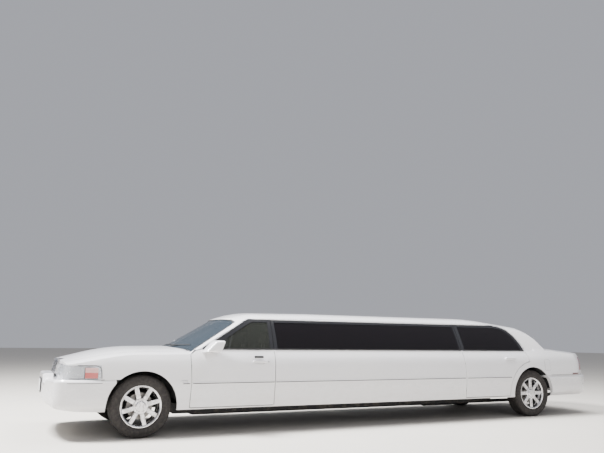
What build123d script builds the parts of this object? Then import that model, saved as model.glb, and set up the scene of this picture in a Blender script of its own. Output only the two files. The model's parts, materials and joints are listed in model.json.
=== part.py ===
"""Stretch limousine saloon: a body-on-frame car whose wheelbase is lengthened behind the front doors.

Millimetres. +X points to the rear, +Y to the car's right side, +Z up. The origin is on the ground, midway
along the car and on its centre plane. The body is a lower body, whose flanks follow one plan outline, and a
greenhouse, whose glass and roof follow one side-view line. Panels are cut from walls between two such bodies.
"""

import math
import os

from build123d import *

# Overall sizes
LENGTH = 8520.0
WHEELBASE = 6038.0
FRONT_OVERHANG = 1045.0
HALF_WIDTH = 985.0
ROOF_Z = 1499.0
NOSE = -LENGTH / 2
TAIL = LENGTH / 2
FRONT_AXLE = NOSE + FRONT_OVERHANG
REAR_AXLE = FRONT_AXLE + WHEELBASE

# Wheels, tracks and steering
TYRE_RADIUS = 351.0
TYRE_WIDTH = 225.0
RIM_RADIUS = 236.0
RIM_WIDTH = 196.0
RIM_WALL = 9.0
HUB_RADIUS = 90.0
HUB_DEPTH = 66.0
CAP_RADIUS = 62.0
CAP_RISE = 16.0
CAP_SINK = 3.0
SPOKE_COUNT = 8
SPOKE_WIDTH = 52.0
SPOKE_EDGE = 5.0
SPOKE_GROOVE = 12.0
FRONT_WHEEL_TURN = 15.0
SPINDLE_RADIUS = 32.0
FRONT_TRACK = 1600.0
REAR_TRACK = 1650.0
ARCH_RADIUS = 400.0
LINER_WALL = 6.0
KINGPIN_INSET = 35.0
KINGPIN_RADIUS = 14.0
BALL_HEIGHT = 105.0

# Heights of the body
SILL_Z = 306.0
DOOR_BOTTOM_Z = 328.0
WAIST_Z = 600.0
BUMPER_TOP_Z = 658.0
BUMPER_SEAM_Z = 622.0
SHOULDER_Z = 860.0
BELT_Z = 995.0
GLASS_SILL_Z = 1008.0
GLASS_TOP_Z = 1348.0
DRIP_Z = 1378.0
FLOOR_Z = 330.0

# Thickness of skins, doors, pillars and glass
SKIN = 25.0
DOOR_SKIN = 8.0
DOOR_WALL = 62.0
FRAME_WALL = 34.0
GLASS = 6.0
GLASS_INSET = 5.0

# Gaps: round moving panels, at the step behind a door's skin, at seats, and in running fits
PANEL_GAP = 8.0
DOOR_STEP = 24.0
SEAT_GAP = 0.3
RUN_GAP = 0.05

# Side-view stations of the doors
FRONT_DOOR_X = FRONT_AXLE + 567.0
FRONT_SEAM_X = FRONT_AXLE + 1640.0
REAR_SEAM_X = REAR_AXLE - 1330.0
REAR_DOOR_END_X = REAR_AXLE - 48.0
DOOR_ARCH_RADIUS = 488.0

# Door hinges: the axis behind the leading edge and inside the widest point, barrel heights and radius
HINGE_SETBACK = 30.0
HINGE_DEPTH = 35.0
HINGE_HEIGHTS = (450.0, 780.0)
HINGE_RADIUS = 9.0
HINGE_BARREL = 40.0
HINGE_EAR = 12.0

# Hood and trunk lid: half-widths, ends, hinge axes
HOOD_HALF = 770.0
HOOD_FRONT_X = FRONT_AXLE - 905.0
HOOD_REAR_X = FRONT_AXLE + 545.0
HOOD_HINGE_X = HOOD_REAR_X - 2.0
HOOD_HINGE_Z = 973.0
HOOD_HINGE_Y = 728.0
HOOD_SWING = 27.0
LID_HALF = 700.0
LID_FRONT_X = REAR_AXLE + 675.0
LID_FRONT_GAP = 16.0
LID_HINGE_X = LID_FRONT_X + 2.0
LID_HINGE_Z = 1047.0
LID_HINGE_Y = 150.0
FLAP_BARREL = 16.0
FLAP_EAR = 10.0
FLAP_RADIUS = 8.0

# Crowned surfaces: half-width of the flatter middle, its radius, and the radius of the sides
GLASSHOUSE_CROWN = (420.0, 4500.0, 900.0)
BODY_CROWN = (560.0, 6000.0, 2600.0)

# Windscreen: a point on its centre line, its plan radius at that height, and its rake as run and rise
WINDSCREEN_X = FRONT_AXLE + 440.0
WINDSCREEN_Z = 1000.0
WINDSCREEN_RADIUS = 2000.0
WINDSCREEN_RAKE = (673.0, 396.0)

# Plan outline of the lower body behind the bumpers
BODY_NOSE_X = NOSE + 95.0
BODY_TAIL_X = TAIL - 60.0

# Lamps and grille
LAMP_REAR_X = FRONT_AXLE - 467.0
LAMP_BOTTOM_Z = 664.0
LAMP_TOP_Z = 816.0
GRILLE_HALF = 330.0
GRILLE_BOTTOM_Z = 700.0
GRILLE_BARS = 19

# Chassis rails
RAIL_Y = 420.0
RAIL_HALF = 38.0
RAIL_BOTTOM_Z = 205.0
RAIL_TOP_Z = FLOOR_Z
CROSS_TOP_Z = 310.0
DIFF_RADIUS = 128.0


def crowned_cut(points, radii, crown, inset=0.0, half=960.0, reach=700.0):
    """All that lies above a crowned surface, which follows a side-view line from front to rear."""
    mid_half, mid_radius, side_radius = crown
    mid_angle = math.degrees(math.asin(mid_half / mid_radius))
    side_angle = math.degrees(math.asin(mid_half / mid_radius + (half - mid_half) / side_radius))
    side_y = (mid_radius - side_radius) * mid_half / mid_radius
    side_z = (mid_radius - side_radius) * math.cos(math.radians(mid_angle)) - mid_radius
    side_sweep = side_angle - mid_angle
    with BuildPart() as cut:
        with BuildLine(Plane.XZ) as line:
            if radii:
                FilletPolyline(*points, radius=radii)
            else:
                Line(*points)
        with BuildSketch(Plane(origin=line.line @ 0, x_dir=(0, 1, 0), z_dir=line.line % 0)):
            with BuildLine():
                CenterArc((0, -mid_radius), mid_radius - inset, 90 - mid_angle, 2 * mid_angle)
                right = CenterArc((side_y, side_z), side_radius - inset, 90 - side_angle, side_sweep)
                left = CenterArc((-side_y, side_z), side_radius - inset, 90 + mid_angle, side_sweep)
                Polyline(left @ 1, ((left @ 1).X, reach), ((right @ 0).X, reach), right @ 0)
            make_face()
        sweep(path=line.line)
    return cut.part


def roof_cut(inset=0.0):
    """Above the roof and the rear window."""
    points = [
        (FRONT_AXLE + 500, 1194),
        (FRONT_AXLE + 1380, 1484),
        (FRONT_AXLE + 2300, ROOF_Z),
        (REAR_AXLE - 838, ROOF_Z),
        (REAR_AXLE + 192, 1385),
        (REAR_AXLE + 762, 975),
    ]
    return crowned_cut(points, [1200, 3000, 4000, 700], GLASSHOUSE_CROWN, inset)


def windscreen_cut(inset=0.0):
    """In front of the windscreen, whose glass is part of an upright cone."""
    rake = math.hypot(*WINDSCREEN_RAKE) / WINDSCREEN_RAKE[1]
    foot_x = WINDSCREEN_X + inset * rake
    top_x = foot_x + (ROOF_Z + 100 - WINDSCREEN_Z) * WINDSCREEN_RAKE[0] / WINDSCREEN_RAKE[1]
    low_x = foot_x + (900 - WINDSCREEN_Z) * WINDSCREEN_RAKE[0] / WINDSCREEN_RAKE[1]
    axis_x = WINDSCREEN_X + WINDSCREEN_RADIUS
    with BuildPart() as cut:
        with BuildSketch(Plane.XZ):
            with BuildLine():
                Polyline(
                    (low_x, 900), (top_x, ROOF_Z + 100), (low_x - 1200, ROOF_Z + 100), (low_x - 1200, 900), close=True
                )
            make_face()
        revolve(axis=Axis((axis_x, 0, 0), (0, 0, 1)), revolution_arc=100)
        mirror(about=Plane.XZ)
    return cut.part


def hood_cut(inset=0.0):
    """Above the hood and the tops of the front wings."""
    points = [(FRONT_AXLE - 1300, 765), (FRONT_AXLE - 300, 1018), (FRONT_AXLE + 900, 1034)]
    return crowned_cut(points, [2500], BODY_CROWN, inset, half=1150)


def nose_cut(inset=0.0):
    """In front of the grille and the front lamps."""
    points = [(FRONT_AXLE - 1000, 200), (FRONT_AXLE - 850, 1020)]
    return crowned_cut(points, [], BODY_CROWN, inset, half=1150)


def deck_cut(inset=0.0):
    """Above the trunk lid and the tops of the rear wings."""
    points = [(REAR_AXLE + 100, 1112), (REAR_AXLE + 1700, 960)]
    return crowned_cut(points, [], BODY_CROWN, inset, half=1150)


def tail_cut(inset=0.0):
    """Behind the tail panel."""
    points = [(REAR_AXLE + 1190, 1200), (REAR_AXLE + 1430, 580), (REAR_AXLE + 1440, 200)]
    return crowned_cut(points, [300], BODY_CROWN, inset, half=1150)


def half_outline(nose_x, tail_x):
    """Points and corner radii of the left half of a plan outline, from nose to tail."""
    points = [
        (nose_x, 0),
        (nose_x, -250),
        (nose_x + 110, -820),
        (nose_x + 400, -940),
        (nose_x + 1200, -HALF_WIDTH),
        (tail_x - 1150, -HALF_WIDTH),
        (tail_x - 330, -930),
        (tail_x - 90, -800),
        (tail_x, -250),
        (tail_x, 0),
    ]
    return points, [1800, 180, 900, 4000, 4000, 300, 180, 1800]


# Inset from the plan outline against height, up the flank, and the radius at each inner point
FLANK_PROFILE = [(120, 180), (22, SILL_Z), (0, WAIST_Z), (14, SHOULDER_Z), (170, 1155)]
FLANK_RADII = [60, 1200, 350]


def block(low, high):
    """A plain box between two corners."""
    with BuildPart() as box:
        with Locations([Location([(a + b) / 2 for a, b in zip(low, high)])]):
            Box(*[b - a for a, b in zip(low, high)])
    return box.part


def lower_body(inset=0.0):
    """The lower body as one solid: a plan outline, less all outside the flanks, hood, nose, deck and tail."""
    points, radii = half_outline(BODY_NOSE_X, BODY_TAIL_X)
    with BuildPart() as outside:
        with BuildLine() as outline:
            FilletPolyline(*points, radius=radii)
        with BuildSketch(Plane(origin=(BODY_NOSE_X, 0, 0), x_dir=(1, 0, 0), z_dir=(0, -1, 0))):
            with BuildLine():
                flank = FilletPolyline(*[(n + inset, z) for n, z in FLANK_PROFILE], radius=FLANK_RADII)
                Polyline(flank @ 0, (-300, 180), (-300, 1155), flank @ 1)
            make_face()
        sweep(path=outline.line)
        mirror(about=Plane.XZ)
    with BuildPart() as body:
        with BuildSketch(Plane.XY.offset(SILL_Z)):
            with BuildLine() as half_line:
                FilletPolyline(*points, radius=radii)
                mirror(half_line.line, about=Plane.XZ)
            make_face()
        extrude(amount=BELT_Z + 130 - SILL_Z)
    cabin = block((FRONT_AXLE + 620, -1200, BELT_Z), (REAR_AXLE + 110, 1200, 1300))
    cuts = [outside.part, hood_cut(inset), nose_cut(inset), deck_cut(inset), tail_cut(inset), cabin]
    return body.part - cuts


def house_section_line(inset):
    """The closed right half of the greenhouse's section, in (y, z)."""
    side = ThreePointArc((908 - inset, 945), (806 - inset, 1190), (700 - inset, DRIP_Z + 8))
    Polyline(side @ 1, (632 - inset, ROOF_Z + 1), (0, ROOF_Z + 1), (0, 945), side @ 0)


def glasshouse(inset=0.0):
    """The greenhouse as one solid, from under the belt to the roof."""
    with BuildPart() as house:
        with BuildSketch(Plane.YZ.offset(FRONT_AXLE + 160)):
            with BuildLine():
                house_section_line(inset)
            make_face()
            mirror(about=Plane.YZ)
        extrude(amount=WHEELBASE + 572)
    return house.part - [roof_cut(inset), windscreen_cut(inset)]


def side_prism(points, radius, grow=0.0, depth=1200.0):
    """A side-view outline carried from the centre plane out to the left."""
    with BuildPart() as prism:
        with BuildSketch(Plane.XZ) as sketch:
            with BuildLine():
                Polyline(*points, close=True)
            make_face()
            fillet(sketch.vertices(), radius)
            if grow:
                offset(amount=grow, kind=Kind.INTERSECTION)
        extrude(amount=depth)
    return prism.part


def front_prism(points, radius, x_low, x_high):
    """A front-view outline, given as its left half, carried along the car."""
    with BuildPart() as prism:
        with BuildSketch(Plane.YZ.offset(x_low)) as sketch:
            with BuildLine():
                Polyline(*points, *[(-y, z) for y, z in reversed(points)], close=True)
            make_face()
            fillet(sketch.vertices(), radius)
        extrude(amount=x_high - x_low)
    return prism.part


def cylinder_y(x, z, radius, y_low, y_high):
    """A cylinder across the car."""
    with BuildPart() as roller:
        with BuildSketch(Plane(origin=(x, y_low, z), x_dir=(1, 0, 0), z_dir=(0, 1, 0))):
            Circle(radius)
        extrude(amount=y_high - y_low)
    return roller.part


def cylinder_z(x, y, radius, z_low, z_high):
    """A cylinder standing up."""
    with BuildPart() as post:
        with BuildSketch(Plane.XY.offset(z_low)):
            with Locations((x, y)):
                Circle(radius)
        extrude(amount=z_high - z_low)
    return post.part


def cylinder_x(x_low, x_high, y, z, radius):
    """A cylinder along the car."""
    with BuildPart() as pin:
        with BuildSketch(Plane.YZ.offset(x_low)):
            with Locations((y, z)):
                Circle(radius)
        extrude(amount=x_high - x_low)
    return pin.part


def right_of(part):
    """The same part on the other side of the car."""
    return mirror(part, about=Plane.XZ)


def save(part, label):
    """Label a finished piece and write it."""
    part.label = label
    export_step(part, f"parts/{label}.step")


def side_body(inset, frame_inset, x_low, x_high):
    """The left half of the body where it runs straight: flank up to the belt, greenhouse side above it."""
    with BuildPart() as middle:
        with BuildSketch(Plane.YZ.offset(x_low)):
            with BuildLine():
                points = [(n + inset - HALF_WIDTH, z) for n, z in FLANK_PROFILE]
                flank = FilletPolyline(*points, radius=FLANK_RADII)
                Polyline(flank @ 0, (0, 180), (0, 1155), flank @ 1)
            make_face()
            with Locations((-HALF_WIDTH / 2, BELT_Z + 200)):
                Rectangle(2 * HALF_WIDTH, 400, mode=Mode.SUBTRACT)
            with BuildLine():
                side = ThreePointArc(
                    (frame_inset - 908, 945), (frame_inset - 806, 1190), (frame_inset - 700, DRIP_Z + 8)
                )
                Polyline(side @ 1, (0, DRIP_Z + 8), (0, 945), side @ 0)
            make_face()
        extrude(amount=x_high - x_low)
    return middle.part


os.makedirs("parts", exist_ok=True)

# Bodies at the depths that the panels lie between
low_outer = lower_body()
low_panel = lower_body(SKIN)
low_wall = low_outer - low_panel
house_outer = glasshouse()
house_frame = glasshouse(FRAME_WALL)
glass_layer = glasshouse(GLASS_INSET) - glasshouse(GLASS_INSET + GLASS)

CABIN_FRONT_X = FRONT_AXLE + 500
CABIN_REAR_X = REAR_AXLE + 40
side_outer = side_body(0, 0, CABIN_FRONT_X, CABIN_REAR_X)
side_door_skin = side_body(DOOR_SKIN, DOOR_SKIN, CABIN_FRONT_X, CABIN_REAR_X)
side_door_inner = side_body(DOOR_WALL, FRAME_WALL, CABIN_FRONT_X, CABIN_REAR_X)
side_panel_inner = side_body(SKIN, SKIN, CABIN_FRONT_X, CABIN_REAR_X)
side_glass = side_body(GLASS_INSET, GLASS_INSET, CABIN_FRONT_X, CABIN_REAR_X) - side_body(
    GLASS_INSET + GLASS, GLASS_INSET + GLASS, CABIN_FRONT_X, CABIN_REAR_X
)
door_skin_layer = side_outer - side_door_skin
door_inner_layer = side_door_skin - side_door_inner

# Doors. The leading edge of the skin is an arc about the hinge axis, so it turns inside the panel ahead
HINGE_Y = HINGE_DEPTH - HALF_WIDTH
LEAD_RADIUS = math.hypot(HINGE_SETBACK, HINGE_DEPTH)
FRONT_HINGE_X = FRONT_DOOR_X + HINGE_SETBACK
REAR_HINGE_X = REAR_SEAM_X + HINGE_SETBACK
CORNER = 12.0

FRONT_DOOR = [
    (FRONT_HINGE_X - LEAD_RADIUS, DOOR_BOTTOM_Z),
    (FRONT_HINGE_X - LEAD_RADIUS, 935),
    (FRONT_DOOR_X + 50, 985),
    (FRONT_AXLE + 690, 996),
    (FRONT_AXLE + 1300, 1353),
    (FRONT_AXLE + 1370, DRIP_Z),
    (FRONT_SEAM_X + 14, DRIP_Z),
    (FRONT_SEAM_X, BELT_Z),
    (FRONT_SEAM_X - 18, DOOR_BOTTOM_Z),
]
FRONT_WINDOW = [
    (FRONT_AXLE + 800, GLASS_SILL_Z),
    (FRONT_AXLE + 1335, 1322),
    (FRONT_AXLE + 1400, GLASS_TOP_Z),
    (FRONT_SEAM_X - 34, GLASS_TOP_Z),
    (FRONT_SEAM_X - 44, GLASS_SILL_Z),
]
REAR_DOOR = [
    (REAR_HINGE_X - LEAD_RADIUS, DOOR_BOTTOM_Z),
    (REAR_HINGE_X - LEAD_RADIUS, DRIP_Z),
    (REAR_AXLE - 560, DRIP_Z),
    (REAR_AXLE - 420, 1360),
    (REAR_AXLE - 310, 1314),
    (REAR_AXLE - 205, 1220),
    (REAR_AXLE - 135, 1110),
    (REAR_AXLE - 90, 990),
    (REAR_DOOR_END_X, 800),
    (REAR_DOOR_END_X, DOOR_BOTTOM_Z),
]
REAR_WINDOW = [
    (REAR_SEAM_X + 46, GLASS_SILL_Z),
    (REAR_SEAM_X + 46, GLASS_TOP_Z),
    (REAR_AXLE - 560, GLASS_TOP_Z),
    (REAR_AXLE - 430, 1328),
    (REAR_AXLE - 335, 1286),
    (REAR_AXLE - 245, 1200),
    (REAR_AXLE - 182, 1100),
    (REAR_AXLE - 148, GLASS_SILL_Z),
]
STRETCH_WINDOW = [
    (FRONT_SEAM_X + 60, GLASS_SILL_Z),
    (FRONT_SEAM_X + 60, GLASS_TOP_Z),
    (REAR_SEAM_X - 48, GLASS_TOP_Z),
    (REAR_SEAM_X - 48, GLASS_SILL_Z),
]
rear_arch = cylinder_y(REAR_AXLE, TYRE_RADIUS, ARCH_RADIUS, -1200, 1200)
front_arch = cylinder_y(FRONT_AXLE, TYRE_RADIUS, ARCH_RADIUS, -1200, 1200)
door_arch = cylinder_y(REAR_AXLE, TYRE_RADIUS, DOOR_ARCH_RADIUS, -1200, 0)


def lead_corner(axis_x, radius):
    """What lies ahead of an arc about a door's hinge axis, outboard of that axis."""
    corner = block((axis_x - radius - 30, HINGE_Y - 90, SILL_Z), (axis_x, HINGE_Y, BELT_Z))
    return corner - cylinder_z(axis_x, HINGE_Y, radius, SILL_Z, BELT_Z)


def door_leaf(outline, window, axis_x):
    """A left door: a thin skin on the outline, a deeper inner part stepped in from it, hinge barrels."""
    leaf = door_skin_layer & side_prism(outline, CORNER)
    leaf = leaf + (door_inner_layer & side_prism(outline, CORNER, -DOOR_STEP))
    leaf = leaf - side_prism(window, CORNER) - lead_corner(axis_x, LEAD_RADIUS)
    half = HINGE_BARREL / 2
    for height in HINGE_HEIGHTS:
        reach = half + HINGE_EAR + PANEL_GAP
        leaf = leaf - block(
            (axis_x - 60, HINGE_Y - 19, height - reach), (axis_x + 22, HINGE_Y + 60, height + reach)
        )
        web = block(
            (axis_x - HINGE_RADIUS, HINGE_Y - 22, height - half), (axis_x + HINGE_RADIUS, HINGE_Y, height + half)
        )
        leaf = leaf + cylinder_z(axis_x, HINGE_Y, HINGE_RADIUS, height - half, height + half) + web
    return leaf


def door_opening(outline, axis_x):
    """The hole that a left door fills, with the gap round it."""
    return side_prism(outline, CORNER, PANEL_GAP) - lead_corner(axis_x, LEAD_RADIUS + PANEL_GAP)


def window_glass(window):
    """A left side window, let into its frame."""
    return side_glass & side_prism(window, CORNER, -SEAT_GAP)


front_opening = door_opening(FRONT_DOOR, FRONT_HINGE_X)
rear_opening = door_opening(REAR_DOOR, REAR_HINGE_X) - cylinder_y(
    REAR_AXLE, TYRE_RADIUS, DOOR_ARCH_RADIUS - PANEL_GAP, -1200, 0
)
door_front_left = door_leaf(FRONT_DOOR, FRONT_WINDOW, FRONT_HINGE_X)
door_rear_left = door_leaf(REAR_DOOR, REAR_WINDOW, REAR_HINGE_X) - door_arch
glass_front_left = window_glass(FRONT_WINDOW)
glass_rear_left = window_glass(REAR_WINDOW)
glass_stretch_left = window_glass(STRETCH_WINDOW)

# Door handles: a bar over a shallow scoop in the door's skin. Columns: middle x, height
HANDLE_LENGTH = 200.0
HANDLE_HEIGHT = 30.0
HANDLE_REACH = 14.0
SCOOP_HALF = 70.0
SCOOP_DEPTH = 14.0
FRONT_HANDLE = (FRONT_AXLE + 1429.0, 852.0)
REAR_HANDLE = (REAR_AXLE - 453.0, 886.0)


def with_handle(door, place):
    """The door with its handle."""
    x, z = place
    skin_y = -HALF_WIDTH + 14
    with BuildPart() as scoop:
        with BuildSketch(Plane(origin=(x, skin_y - 40, z), x_dir=(1, 0, 0), z_dir=(0, -1, 0))):
            SlotOverall(2 * SCOOP_HALF, 1.9 * HANDLE_HEIGHT)
        extrude(amount=-40 - SCOOP_DEPTH)
        fillet(scoop.faces().sort_by(Axis.Y)[-1].edges(), 8)
    with BuildPart() as bar:
        with BuildSketch(Plane(origin=(x, skin_y - HANDLE_REACH, z), x_dir=(1, 0, 0), z_dir=(0, -1, 0))):
            SlotOverall(HANDLE_LENGTH, HANDLE_HEIGHT)
        extrude(amount=-HANDLE_REACH - SCOOP_DEPTH - 6)
        fillet(bar.faces().sort_by(Axis.Y)[0].edges(), 6)
    return (door - scoop.part) + bar.part


door_front_left = with_handle(door_front_left, FRONT_HANDLE)
door_rear_left = with_handle(door_rear_left, REAR_HANDLE)

# Stretch panel between the doors, with the rocker under them
sides_wall = side_outer - side_panel_inner
side_panel_left = sides_wall & block(
    (FRONT_DOOR_X, -1200, SILL_Z), (REAR_AXLE - ARCH_RADIUS + 2, 0, BELT_Z)
)
side_panel_left = side_panel_left - front_opening - rear_opening
side_panel_left = side_panel_left - block((CABIN_FRONT_X, -1200, 900), (FRONT_DOOR_X + 300, 0, BELT_Z))
side_panel_left = side_panel_left - block((REAR_AXLE - 500, -1200, DOOR_BOTTOM_Z), (REAR_AXLE, 0, BELT_Z))

# Roof with its pillars
WINDSCREEN = [(-838, 940), (-838, 985), (-690, 1300), (-632, 1372), (-300, 1388)]
REAR_SCREEN = [(-690, 900), (-690, 1075), (-560, 1345), (-300, 1365)]
windscreen_prism = front_prism(WINDSCREEN, 18, FRONT_AXLE, FRONT_AXLE + 1190)
rear_screen_prism = front_prism(REAR_SCREEN, 30, REAR_AXLE, REAR_AXLE + 740)
stretch_prism = side_prism(STRETCH_WINDOW, CORNER)
roof_cuts = [low_outer, windscreen_prism, rear_screen_prism]
for left_cut in (front_opening, rear_opening, stretch_prism):
    roof_cuts += [left_cut, right_of(left_cut)]
roof = house_outer - house_frame - roof_cuts

# Hood, cowl and front wings, cut from the lower body's wall
HOOD_OUTLINE = [
    (HOOD_FRONT_X, -600),
    (FRONT_AXLE - 600, -715),
    (FRONT_AXLE - 200, -HOOD_HALF),
    (HOOD_REAR_X, -HOOD_HALF),
    (HOOD_REAR_X, -690),
]
HOOD_MID_X = FRONT_AXLE + 400


def hood_prism(grow=0.0):
    """The hood's plan outline, carried up from the top of the lamps."""
    with BuildPart() as prism:
        with BuildSketch(Plane.XY.offset(LAMP_TOP_Z + 4 - grow)):
            with BuildLine():
                left = Polyline(*HOOD_OUTLINE)
                rear = ThreePointArc(left @ 1, (HOOD_MID_X, 0), ((left @ 1).X, -(left @ 1).Y))
                Polyline(rear @ 1, *[(x, -y) for x, y in reversed(HOOD_OUTLINE[:-1])], left @ 0)
            make_face()
            if grow:
                offset(amount=grow, kind=Kind.INTERSECTION)
        extrude(amount=300)
    return prism.part


grille_zone = block(
    (BODY_NOSE_X - 50, -GRILLE_HALF - 16, GRILLE_BOTTOM_Z), (FRONT_AXLE - 780, GRILLE_HALF + 16, 875)
)
hood_opening = hood_prism(PANEL_GAP)
hood = (low_wall & hood_prism()) - grille_zone


def flap_hinge(x, y, z, stem_to_x):
    """One hinge of a hood or lid: the flap's pocket, its barrel, and the two fixed ears with their arms."""
    half = FLAP_BARREL / 2
    outer = half + SEAT_GAP + FLAP_EAR
    reach = outer + PANEL_GAP / 2
    away = 1 if stem_to_x > x else -1
    pocket = block(
        (min(x - 22 * away, x + 22 * away), y - reach, z - 30), (max(x - 22 * away, x + 22 * away), y + reach, z + 30)
    )
    barrel = cylinder_y(x, z, FLAP_RADIUS, y - half, y + half)
    web = block((min(x, x - 30 * away), y - half, z - FLAP_RADIUS), (max(x, x - 30 * away), y + half, z + FLAP_RADIUS))
    ears = None
    for near in (y - outer, y + half + SEAT_GAP):
        ear = cylinder_y(x, z, FLAP_RADIUS, near, near + FLAP_EAR)
        arm = block(
            (min(x, stem_to_x), near, z - FLAP_RADIUS), (max(x, stem_to_x), near + FLAP_EAR, z + FLAP_RADIUS)
        )
        ears = ear + arm if ears is None else ears + ear + arm
    return pocket, barrel + web, ears


cowl_zone = block((FRONT_AXLE + 330, -HOOD_HALF, 900), (FRONT_AXLE + 620, HOOD_HALF, 1100))
COWL_DROP = 28.0
cowl = Pos(0, 0, -COWL_DROP) * ((low_wall & cowl_zone) - hood_opening)
for side in (-1, 1):
    pocket, barrel, ears = flap_hinge(HOOD_HINGE_X, side * HOOD_HINGE_Y, HOOD_HINGE_Z, HOOD_REAR_X + 40)
    hood = (hood - pocket) + barrel
    post = block(
        (HOOD_REAR_X + 24, side * HOOD_HINGE_Y - 26, 925), (HOOD_REAR_X + 40, side * HOOD_HINGE_Y + 26, HOOD_HINGE_Z + 8)
    )
    cowl = cowl + ears + post

lamp_zone = block((BODY_NOSE_X - 50, GRILLE_HALF + 9, BUMPER_TOP_Z + SEAT_GAP), (LAMP_REAR_X, 1200, LAMP_TOP_Z))
lamp_zone_left = right_of(lamp_zone)
LENS_WALL = 4.0
SUPPORT_X = FRONT_AXLE - 790.0
LAMP_BACK_X = SUPPORT_X - SEAT_GAP
LAMP_BACK_Y = 700.0
BOWL_WALL = 16.0
BOWL_Z = (LAMP_BOTTOM_Z + LAMP_TOP_Z) / 2
# Columns: distance of a bowl's axis from the centre plane, radius at its mouth
BOWLS = ((446.0, 58.0), (584.0, 58.0))
lens_inner = lower_body(LENS_WALL)
lamp_inner = lower_body(LENS_WALL + SEAT_GAP)
lens_left = (low_outer - lens_inner) & lamp_zone_left
lamp_back = block(
    (BODY_NOSE_X - 50, -LAMP_BACK_Y, LAMP_BOTTOM_Z), (LAMP_BACK_X, -GRILLE_HALF - 9, LAMP_TOP_Z - SEAT_GAP)
)
lamp_left = ((lamp_inner - low_panel) & lamp_zone_left) + (lamp_inner & lamp_back)
for bowl_y, bowl_radius in BOWLS:
    with BuildPart() as bowl:
        with BuildSketch(Plane.YZ.offset(BODY_NOSE_X - 20)):
            with Locations((-bowl_y, BOWL_Z)):
                Circle(bowl_radius)
        extrude(amount=LAMP_BACK_X - BOWL_WALL - BODY_NOSE_X + 20)
        fillet(bowl.faces().sort_by(Axis.X)[-1].edges(), 0.7 * bowl_radius)
    lamp_left = lamp_left - bowl.part
    lamp_left = lamp_left + cylinder_x(LAMP_BACK_X - 50, LAMP_BACK_X - 10, -bowl_y, BOWL_Z, 9)
headlamps = Compound(children=[lamp_left, right_of(lamp_left)])
headlamp_lenses = Compound(children=[lens_left, right_of(lens_left)])
wing_zone = block((BODY_NOSE_X - 50, -1200, SILL_Z), (FRONT_AXLE + 620, 0, 1200))
bumper_zone = block((BODY_NOSE_X - 50, -1200, SILL_Z - 10), (FRONT_AXLE, 1200, BUMPER_TOP_Z + SEAT_GAP))
cowl_band = block((HOOD_REAR_X - 300, -HOOD_HALF - SEAT_GAP, 860), (FRONT_AXLE + 630, HOOD_HALF + SEAT_GAP, 1100))
nose_zone = block((BODY_NOSE_X - 50, -600, SILL_Z), (FRONT_AXLE - 700, 600, 1100))
front_fender_left = low_wall & wing_zone
for cut in (hood_opening, bumper_zone, lamp_zone_left, front_arch, front_opening, cowl_band, nose_zone):
    front_fender_left = front_fender_left - cut
front_fender_left = front_fender_left - block((FRONT_DOOR_X, -1200, SILL_Z - 10), (FRONT_AXLE + 700, 0, 960))

# Trunk lid, shelf and rear wings
lamp_tail_zone = block((REAR_AXLE + 1150, 556, 690), (TAIL, 1200, 905))
lid_zone = block((LID_FRONT_X, -LID_HALF, BUMPER_SEAM_Z + 12), (TAIL, LID_HALF, 1200))
lid_low_zone = block((LID_FRONT_X + 200, 548, BUMPER_SEAM_Z), (TAIL, 1200, 913))
trunk_lid = (low_wall & lid_zone) - lid_low_zone - right_of(lid_low_zone)
shelf_zone = block((REAR_AXLE + 110, -LID_HALF, 900), (LID_FRONT_X - LID_FRONT_GAP, LID_HALF, 1200))
parcel_shelf = low_wall & shelf_zone
for side in (-1, 1):
    pocket, barrel, ears = flap_hinge(LID_HINGE_X, side * LID_HINGE_Y, LID_HINGE_Z, LID_FRONT_X - LID_FRONT_GAP - 6)
    trunk_lid = (trunk_lid - pocket) + barrel
    parcel_shelf = parcel_shelf + ears
tail_lamps = (low_wall & lamp_tail_zone) + (low_wall & right_of(lamp_tail_zone))
quarter_zone = block((REAR_AXLE - 500, -1200, SILL_Z), (TAIL, 0, 1200))
quarter_left = low_wall & quarter_zone
lid_opening = block((LID_FRONT_X - 20, -LID_HALF - PANEL_GAP, 905), (TAIL, LID_HALF + PANEL_GAP, 1200))
lid_low_opening = block((REAR_AXLE + 900, -548 - PANEL_GAP, BUMPER_SEAM_Z), (TAIL, 548 + PANEL_GAP, 1200))
shelf_band = block((REAR_AXLE, -LID_HALF - SEAT_GAP, 880), (LID_FRONT_X, LID_HALF + SEAT_GAP, 1200))
rear_bumper_zone = block((REAR_AXLE, -1200, SILL_Z - 10), (TAIL, 1200, BUMPER_SEAM_Z + SEAT_GAP))
rear_low = block((REAR_AXLE - 600, -1200, SILL_Z - 10), (REAR_AXLE - ARCH_RADIUS + 5, 0, DOOR_BOTTOM_Z))
for cut in (
    lid_opening, lid_low_opening, shelf_band, rear_bumper_zone, rear_arch, rear_opening,
    right_of(lamp_tail_zone), rear_low,
):
    quarter_left = quarter_left - cut


# Bumper covers. Columns of a profile: inset from the plan outline, height; then its radii
BUMPER_WALL = 60.0
BUMPER_LIP = 38.0
FRONT_PROFILE = [(70, 294), (14, 360), (0, 430), (0, 634), (26, 664)]
REAR_PROFILE = [(70, 294), (14, 360), (0, 430), (0, 586), (30, 626)]
BUMPER_RADII = [60, 400, 26]
# Side view of the chins, in distance behind the nose or ahead of the tail, and height
FRONT_CHIN = [(-40, 446), (0, 436), (48, 380), (140, 342), (330, 314), (560, SILL_Z)]
REAR_CHIN = [(-40, 474), (0, 460), (36, 398), (96, 350), (260, 314), (470, SILL_Z)]
CHIN_RADIUS = 60.0


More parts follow.
